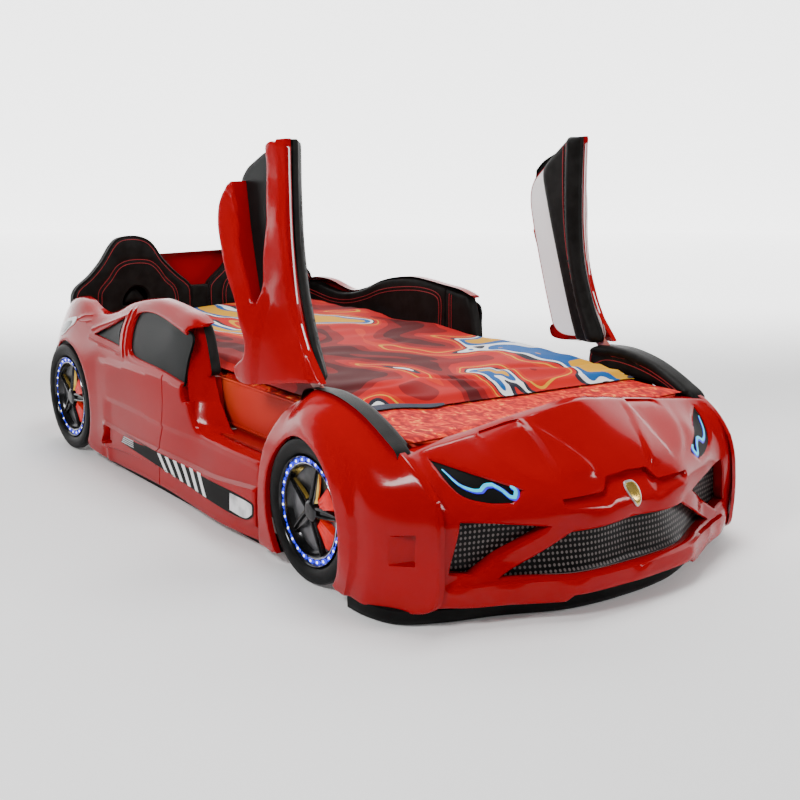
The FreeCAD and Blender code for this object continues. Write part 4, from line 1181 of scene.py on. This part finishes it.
def side_pads():
    """Leather pads along the side boards behind the doors and over the front wheels."""
    outline = path([(.020, .406), (.030, .455), (.052, .520), (.070, .541), (.118, .548), (.182, .557),
                    (.225, .563), (.314, .571), (.387, .569), (.481, .557), (.569, .535), (.671, .497),
                    (.755, .477), (.831, .471), (.909, .478), (.988, .490), (1.040, .492, 1),
                    (1.040, .398, 1), (.030, .398)])
    seams = [(path([(.172, .552), (.170, .480), (.172, .404)], False), 0.004, 0.006)]

    def puff(y, z):
        points = np.stack([y, z], axis=1)
        gap = np.clip(away(points, outline), 0, 0.040)
        return 0.006 * np.sqrt(np.maximum(1 - (1 - gap / 0.040) ** 2, 0))

    def place(y, z):
        return 0.4600 - puff(y, z), y, z

    made = relief(outline, place, (1, 0, 0), (), [moved(outline, -0.03)], seams, 0.009, 0.007, 0.0,
                  rims=((0.0, 0.030),))
    stitch = [path([(1.03, .462), (.861, .444), (.752, .451), (.646, .476), (.545, .510), (.448, .530),
                    (.309, .544), (.220, .536), (.196, .520), (.194, .412)], False),
              path([(1.03, .450), (.861, .432), (.752, .439), (.646, .464), (.545, .498), (.448, .518),
                    (.309, .532), (.226, .525), (.208, .512), (.206, .412)], False),
              path([(.150, .540), (.148, .412)], False), path([(.138, .538), (.136, .412)], False)]
    add_pads("side_cushion", made, puff, 0.4600, stitch, "side_pad_")

    wing = path([(-.491, .407), (-.493, .445), (-.512, .461), (-.555, .468), (-.631, .470), (-.719, .455),
                 (-.780, .434), (-.84, .406), (-.882, .382), (-.889, .366), (-.866, .363), (-.754, .389),
                 (-.61, .398), (-.505, .400)])
    ridge = path([(-.505, .455), (-.56, .456), (-.631, .458), (-.719, .443), (-.780, .422), (-.85, .391)],
                 False)

    def wing_puff(y, z):
        points = np.stack([y, z], axis=1)
        gap = np.clip(away(points, wing), 0, 0.012)
        roll = 0.010 * np.sqrt(np.maximum(1 - (away(points, ridge, False) / 0.014) ** 2, 0))
        return (0.004 + roll) * np.sqrt(np.maximum(1 - (1 - gap / 0.012) ** 2, 0))

    def wing_place(y, z):
        return 0.4680 - wing_puff(y, z), y, z

    made = relief(wing, wing_place, (1, 0, 0), (), [ridge, moved(ridge_loop(ridge), 0.012)], (), 0.007,
                  0.006, 0.0, rims=((0.0, 0.040),))
    stitch = [path([(-.502, .414), (-.504, .436), (-.56, .441), (-.631, .443), (-.719, .430), (-.780, .412),
                    (-.845, .384)],
                   False),
              path([(-.515, .410), (-.56, .428), (-.631, .430), (-.719, .417), (-.780, .399), (-.81, .386)],
                   False)]
    add_pads("wing_cushion", made, wing_puff, 0.4680, stitch, "wing_pad_")


def ridge_loop(line):
    """A closed loop that runs along a line and back, for spacing points beside it."""
    return np.concatenate([line, line[::-1][1:-1] + np.array([0, -1e-4])])


def add_pads(name, made, puff, level, stitches, node):
    """A pair of leather pads with their rows of red stitching."""
    for side, obj in both_sides(name, made).items():
        sign = SIDES[side]
        finish_piece(obj, LEATHER, "bed", "leather", node + side)
        for index, line in enumerate(stitches):
            x = level - puff(line[:, 0], line[:, 1]) - 0.0004
            thread = tube("%s_stitch_%d_%s" % (name, index, side),
                          [(sign * depth, y, z) for depth, (y, z) in zip(x, line)], 0.0010)
            finish_piece(thread, THREAD, "bed", "leather")


def seats():
    """Two seat-back pads at the head end with headrest holes, and the console strip."""
    outline = path([(.480, .398, 1), (.480, .500), (.468, .527), (.415, .569), (.373, .613), (.335, .667),
                    (.314, .688), (.290, .697), (.236, .696), (.199, .682), (.176, .660), (.145, .612),
                    (.095, .560), (.052, .524), (.038, .505), (.036, .398, 1)])
    hole = path([(.305, .461), (.298, .489), (.274, .516), (.248, .524), (.218, .511), (.204, .486),
                 (.206, .461, 1), (.300, .455, 1)])
    inset = path([(.296, .463, 1), (.289, .490), (.267, .512), (.247, .510), (.222, .484), (.213, .463, 1)])
    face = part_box("seat_pad_right")[0][1]
    loop = path([(.400, .412), (.396, .473), (.391, .515), (.352, .560), (.319, .600), (.278, .616),
                 (.197, .611), (.167, .590), (.133, .544), (.102, .512), (.091, .477), (.092, .412)], False)

    def puff(x, z):
        points = np.stack([x, z], axis=1)
        gap = np.clip(away(points, outline), 0, 0.045)
        swell = 0.012 * np.sqrt(np.maximum(1 - (1 - gap / 0.045) ** 2, 0))
        return swell - 0.004 * np.clip(1 - away(points, loop, False) / 0.010, 0, 1)

    def place(x, z):
        return x, face + 0.012 - puff(x, z), z

    lines = [loop, moved(outline, -0.02), moved(outline, -0.04)]
    verts, faces = relief(outline, place, (0, 1, 0), [hole], lines, (), 0.010, 0.006, 0.005,
                          rims=((0.0, 0.032),), hole_rims=((0.0, 0.020),))
    for side, sign in SIDES.items():
        points = verts * np.array([sign, 1, 1])
        cells = faces if sign > 0 else [tuple(reversed(cell)) for cell in faces]
        pad = finish_piece(new_object("seat_back_" + side, points, cells), LEATHER, "bed", "leather",
                           "seat_pad_" + side)
        for index, (line, closed) in enumerate(((loop, False), (shrunk(loop, 0.012), False),
                                                (moved(outline, -0.009), True))):
            depth = face + 0.012 - puff(line[:, 0], line[:, 1]) - 0.0004
            thread = tube("seat_stitch_%d_%s" % (index, side),
                          [(sign * x, y, z) for y, (x, z) in zip(depth, line)], 0.0009, closed)
            finish_piece(thread, THREAD, "bed", "leather")
        border = [(sign * x, face + 0.010, z) for x, z in moved(outline, 0.001)]
        piping = tube("seat_piping_" + side, border, 0.004, True)
        finish_piece(piping, TRIM, "bed", "leather")

        def inset_place(x, z):
            points = np.stack([x, z], axis=1)
            return x, face + 0.020 - 0.010 * np.clip(away(points, inset) / 0.015, 0, 1) ** 0.5, z

        rest_verts, rest_faces = relief(inset, inset_place, (0, 1, 0), (), (), (), 0.006, 0.004, 0.0,
                                        rims=((0.0, 0.015),))
        rest_faces = rest_faces if sign > 0 else [tuple(reversed(cell)) for cell in rest_faces]
        rest = new_object("headrest_" + side, rest_verts * np.array([sign, 1, 1]), rest_faces)
        finish_piece(rest, LEATHER, "bed", "leather", "headrest_inserts")
    strip = path([(.032, .398, 1), (.032, .508, 1), (-.032, .508, 1), (-.032, .398, 1)])

    def strip_place(x, z):
        return x, face + 0.006 - 0.006 * np.clip(1 - np.abs(x) / 0.034, 0, 1) ** 0.5, z

    console = new_object("console_strip", *relief(strip, strip_place, (0, 1, 0), (),
                                                  [path([(0, .40), (0, .506)], False)], (), 0.006, 0.004,
                                                  0.0, rims=((0.0, 0.034),)))
    finish_piece(console, LEATHER, "bed", "leather", "console_pad")
    for index, x in enumerate((-.012, -.006, .006, .012)):
        thread = tube("console_stitch_%d" % index, [(x, face + 0.0020, .402 + .1 * t) for t in (0, .5, 1)],
                      0.0008)
        finish_piece(thread, THREAD, "bed", "leather")


def shrunk(line, distance):
    """An open arch-shaped line moved towards its inside."""
    run = np.gradient(line, axis=0)
    run /= np.hypot(run[:, 0], run[:, 1])[:, None]
    normal = np.stack([run[:, 1], -run[:, 0]], axis=1)
    centre = line.mean(axis=0)
    sign = 1 if np.sum(normal * (centre - line)) > 0 else -1
    return line + normal * sign * distance


# ---------------------------------------------------------------- bedding

def waves(x, y, seed, sizes, count=9):
    """Smooth random ripples from a fixed seed: a sum of slanted sine waves."""
    random = np.random.default_rng(seed)
    total = np.zeros_like(x)
    for _ in range(count):
        angle = random.uniform(-0.9, 0.9)
        length = random.uniform(*sizes)
        phase = random.uniform(0, 2 * math.pi)
        total += np.sin(2 * math.pi * (y * math.cos(angle) + x * math.sin(angle)) / length + phase)
    return total / count


def squircle(turn, half_x, half_y):
    """Point on a rectangle with small round corners."""
    power = 2 / 26
    c, s = math.cos(turn), math.sin(turn)
    return math.copysign(abs(c) ** power, c) * half_x, math.copysign(abs(s) ** power, s) * half_y


def mattress():
    """Soft-edged mattress between the side boards: print on top, plain cloth round the sides."""
    low, high = np.array(MATTRESS_LOW), np.array(MATTRESS_HIGH)
    centre, half = (low + high) / 2, (high - low) / 2

    def ring(level, swell):
        size = 0.028 if level > 0 else 0.010
        shrink = size * (1 - math.sqrt(max(1 - abs(level) ** 8, 0))) - swell
        points = []
        for turn in np.linspace(0, 2 * math.pi, 321)[:-1]:
            x, y = squircle(turn, half[0] - shrink, half[1] - shrink)
            points.append((centre[0] + x, centre[1] + y, centre[2] + half[2] * level))
        return points

    rows = [points + [points[0]] for points in (ring(level, 0) for level in np.linspace(-1, 1, 17))]
    obj = new_object("mattress_foam", *grid_faces(rows), 60)
    finish_piece(obj, SIDE_CLOTH, "bed", "mattress_cover", "mattress")
    for level, name in ((0.86, "top"), (-0.80, "low")):
        piping = tube("mattress_piping_" + name, ring(level, 0.001), 0.0028, True)
        finish_piece(piping, SIDE_CLOTH, "bed", "mattress_cover")
    x = np.linspace(low[0] + 0.006, high[0] - 0.006, 60)
    rows = []
    for y in np.linspace(low[1] + 0.006, high[1] - 0.006, 130):
        edge = np.minimum(np.minimum(x - low[0], high[0] - x), min(y - low[1], high[1] - y))
        drop = 0.016 * (1 - np.sqrt(np.clip(1 - (1 - np.clip(edge / 0.03, 0, 1)) ** 2, 0, 1)))
        z = high[2] - drop + 0.0022 + 0.0022 * waves(x, np.full_like(x, y), 4, (0.10, 0.3))
        rows.append(np.stack([x, np.full_like(x, y), z], axis=1))
    top = new_object("mattress_top", *grid_faces(rows), 60)
    finish_piece(top, FLEECE, "bed", "mattress_cover")


DUVET_EDGE = path([(-.44, -.560), (-.360, -.568), (-.295, -.579), (-.212, -.639), (-.103, -.655),
                   (.039, -.670), (.176, -.678), (.300, -.690), (.44, -.700)], closed=False)


def duvet_front(x):
    """Y of the duvet's front edge across the bed."""
    return np.interp(x, DUVET_EDGE[:, 0], DUVET_EDGE[:, 1])


def duvet_height(x, y):
    """Top of the rumpled duvet: level, with slanted folds and a rolled front edge."""
    behind = y - duvet_front(x)
    bank = np.interp(x, [-.44, -.27, -.13, .0, .10, .44], [.10, .09, .20, .05, .16, .12])
    rise = smooth_step(behind, 0.0, 0.035) * 0.55 + 0.45 * smooth_step(behind, bank * 0.4, bank)
    side = smooth_step(.437 - np.abs(x), 0.0, 0.035)
    folds = 0.010 * waves(x, y, 11, (0.22, 0.55)) + 0.004 * waves(x, y, 5, (0.09, 0.2))
    lift = 0.006 * np.sin(14 * behind + 5 * x) * smooth_step(behind, 0.30, 0.04)
    lift = lift - 0.007 * np.exp(-((behind - bank) / 0.018) ** 2)
    head = smooth_step(y, 1.035, 0.98)
    return 0.400 + (0.034 * rise + (folds + lift) * rise + 0.004) * (0.25 + 0.75 * side) * (0.4 + 0.6 * head)


def duvet():
    """Printed duvet laid over the mattress, its navy underside showing at the rolled near corner."""
    x = np.linspace(-.437, .437, 110)
    rows = []
    for t in np.linspace(0, 1, 210):
        y = duvet_front(x) + (1.022 - duvet_front(x)) * t
        rows.append(np.stack([x, y, duvet_height(x, y)], axis=1))
    cover = new_object("duvet_cover", *grid_faces(rows), 60)
    finish_piece(cover, PRINT, "bed", "duvet_print", "duvet")
    near = smooth_step(x, -.16, -.26)
    rows = []
    for t in np.linspace(0, 1, 8):
        y = duvet_front(x) + 0.030 - (0.026 + 0.034 * near) * t
        rows.append(np.stack([x, y, 0.4035 + 0.003 * math.sin(math.pi * t) + 0 * x], axis=1))
    under = new_object("duvet_underside", *grid_faces(rows), 60)
    finish_piece(under, NAVY, "bed", "duvet_print")
    hem = tube("duvet_hem", [(.4345, y, duvet_height(np.array([.437]), np.array([y]))[0] + .0015)
                             for y in np.linspace(-.66, 1.0, 90)], 0.0026)
    finish_piece(hem, SHEET_WHITE, "bed", "duvet_print")


# ---------------------------------------------------------------- frame parts that keep their CAD shape

def frame_parts():
    """Better materials in the CAD nodes that stay as they are."""
    finishes = {
        # The head board is black so that the gaps round the headrest inserts show dark: painted shade.
        "side_board_left": BOARD, "side_board_right": BOARD, "head_board": BLACK, "foot_board": BOARD,
        "corner_posts": BOARD, "slats": PINE, "slat_rails": PINE, "middle_beam": PINE,
        "beam_legs": BLACK, "plinth_rear": BLACK, "plinth_sides": BLACK,
        "wheel_mounts": BLACK, "hinge_brackets": STEEL, "hinge_pins": STEEL,
    }
    for name, used in finishes.items():
        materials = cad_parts[name].data.materials
        materials.clear()
        materials.append(used)


# ---------------------------------------------------------------- studio

def studio():
    """Pale floor that glows behind the bed and stays dim round it as painted shade, a pale wall, soft lights
    and the camera.
    """
    floor_mesh = bpy.data.meshes.new("floor")
    floor_mesh.from_pydata([(-30, -30, 0), (30, -30, 0), (30, 30, 0), (-30, 30, 0)], [], [(0, 1, 2, 3)])
    floor = bpy.data.objects.new("floor", floor_mesh)
    bpy.context.scene.collection.objects.link(floor)
    paper = material("floor_white_painted_shade", (0.86, 0.86, 0.86), (0.90, 0.90, 0.90), 0.6, (0.75, 0.85),
                     Emission_Color=(1, 1, 1, 1))
    tree = paper.node_tree
    coords = tree.nodes.new("ShaderNodeTexCoord")
    far = tree.nodes.new("ShaderNodeVectorMath")
    far.operation = "DOT_PRODUCT"
    far.inputs[1].default_value = (0.59, 0.81, 0)
    # Floor glow grows with distance behind the bed; the dim floor round the bed is painted shade, standing in
    # for its contact shadow.
    glow = tree.nodes.new("ShaderNodeMapRange")
    glow.interpolation_type = "SMOOTHSTEP"
    glow.inputs["From Min"].default_value = 1.4
    glow.inputs["From Max"].default_value = 4.0
    glow.inputs["To Min"].default_value = 0.10
    glow.inputs["To Max"].default_value = 2.4
    tree.links.new(coords.outputs["Object"], far.inputs[0])
    tree.links.new(far.outputs["Value"], glow.inputs["Value"])
    tree.links.new(glow.outputs["Result"], tree.nodes["Principled BSDF"].inputs["Emission Strength"])
    floor.data.materials.append(paper)
    across = Vector((0.81, -0.59, 0))
    behind = Vector((0.59, 0.81, 0))
    wall_mesh = bpy.data.meshes.new("backdrop")
    corners = [behind * 9 + across * side * 30 + Vector((0, 0, height)) for side, height in
               ((-1, -1), (1, -1), (1, 14), (-1, 14))]
    wall_mesh.from_pydata([tuple(corner) for corner in corners], [], [(0, 1, 2, 3)])
    wall = bpy.data.objects.new("backdrop", wall_mesh)
    bpy.context.scene.collection.objects.link(wall)
    wall.data.materials.append(material("backdrop_white", (0.86, 0.86, 0.86), (0.90, 0.90, 0.90), 0.3,
                                        (0.8, 0.9), Emission_Color=(1, 1, 1, 1), Emission_Strength=2.4))
    world = bpy.data.worlds.new("studio")
    bpy.context.scene.world = world
    world.use_nodes = True
    background = world.node_tree.nodes["Background"]
    background.inputs["Color"].default_value = (1, 1, 1, 1)
    background.inputs["Strength"].default_value = 0.10
    for name, spot, aim, wide, tall, power in (
            ("key", (-3.4, -1.4, 2.9), (-0.3, -0.3, 0.3), 1.0, 0.6, 120),
            ("top", (0.3, -0.4, 3.6), (0, 0, 0.3), 2.0, 0.8, 105),
            ("front", (2.2, -3.6, 1.9), (0.2, -0.8, 0.2), 0.9, 0.5, 48)):
        lamp = bpy.data.lights.new(name, "AREA")
        lamp.shape = "RECTANGLE"
        lamp.size, lamp.size_y = wide, tall
        lamp.energy = power
        holder = bpy.data.objects.new(name, lamp)
        bpy.context.scene.collection.objects.link(holder)
        holder.location = spot
        holder.rotation_euler = (Vector(aim) - Vector(spot)).to_track_quat("-Z", "Y").to_euler()
    camera = bpy.data.cameras.new("camera")
    camera.lens = 53.874
    camera.sensor_width = 36
    eye = bpy.data.objects.new("camera", camera)
    eye.location = (-1.98568, -2.93379, 1.08284)
    eye.rotation_euler = Euler((math.radians(77.06), 0, math.radians(-35.99)))
    bpy.context.scene.collection.objects.link(eye)
    bpy.context.scene.camera = eye


# ---------------------------------------------------------------- assembly

sides()
nose_data, nose_place, lamp_outline, intake_outline, mouth_outline = nose()
finish_piece(new_object("nose_shell", *nose_data), RED, "bed", "body_red", "nose_skin")
nose_parts(nose_place, lamp_outline, intake_outline, mouth_outline)
doors()
wheels()
lower_parts()
side_pads()
seats()
mattress()
duvet()
frame_parts()
studio()
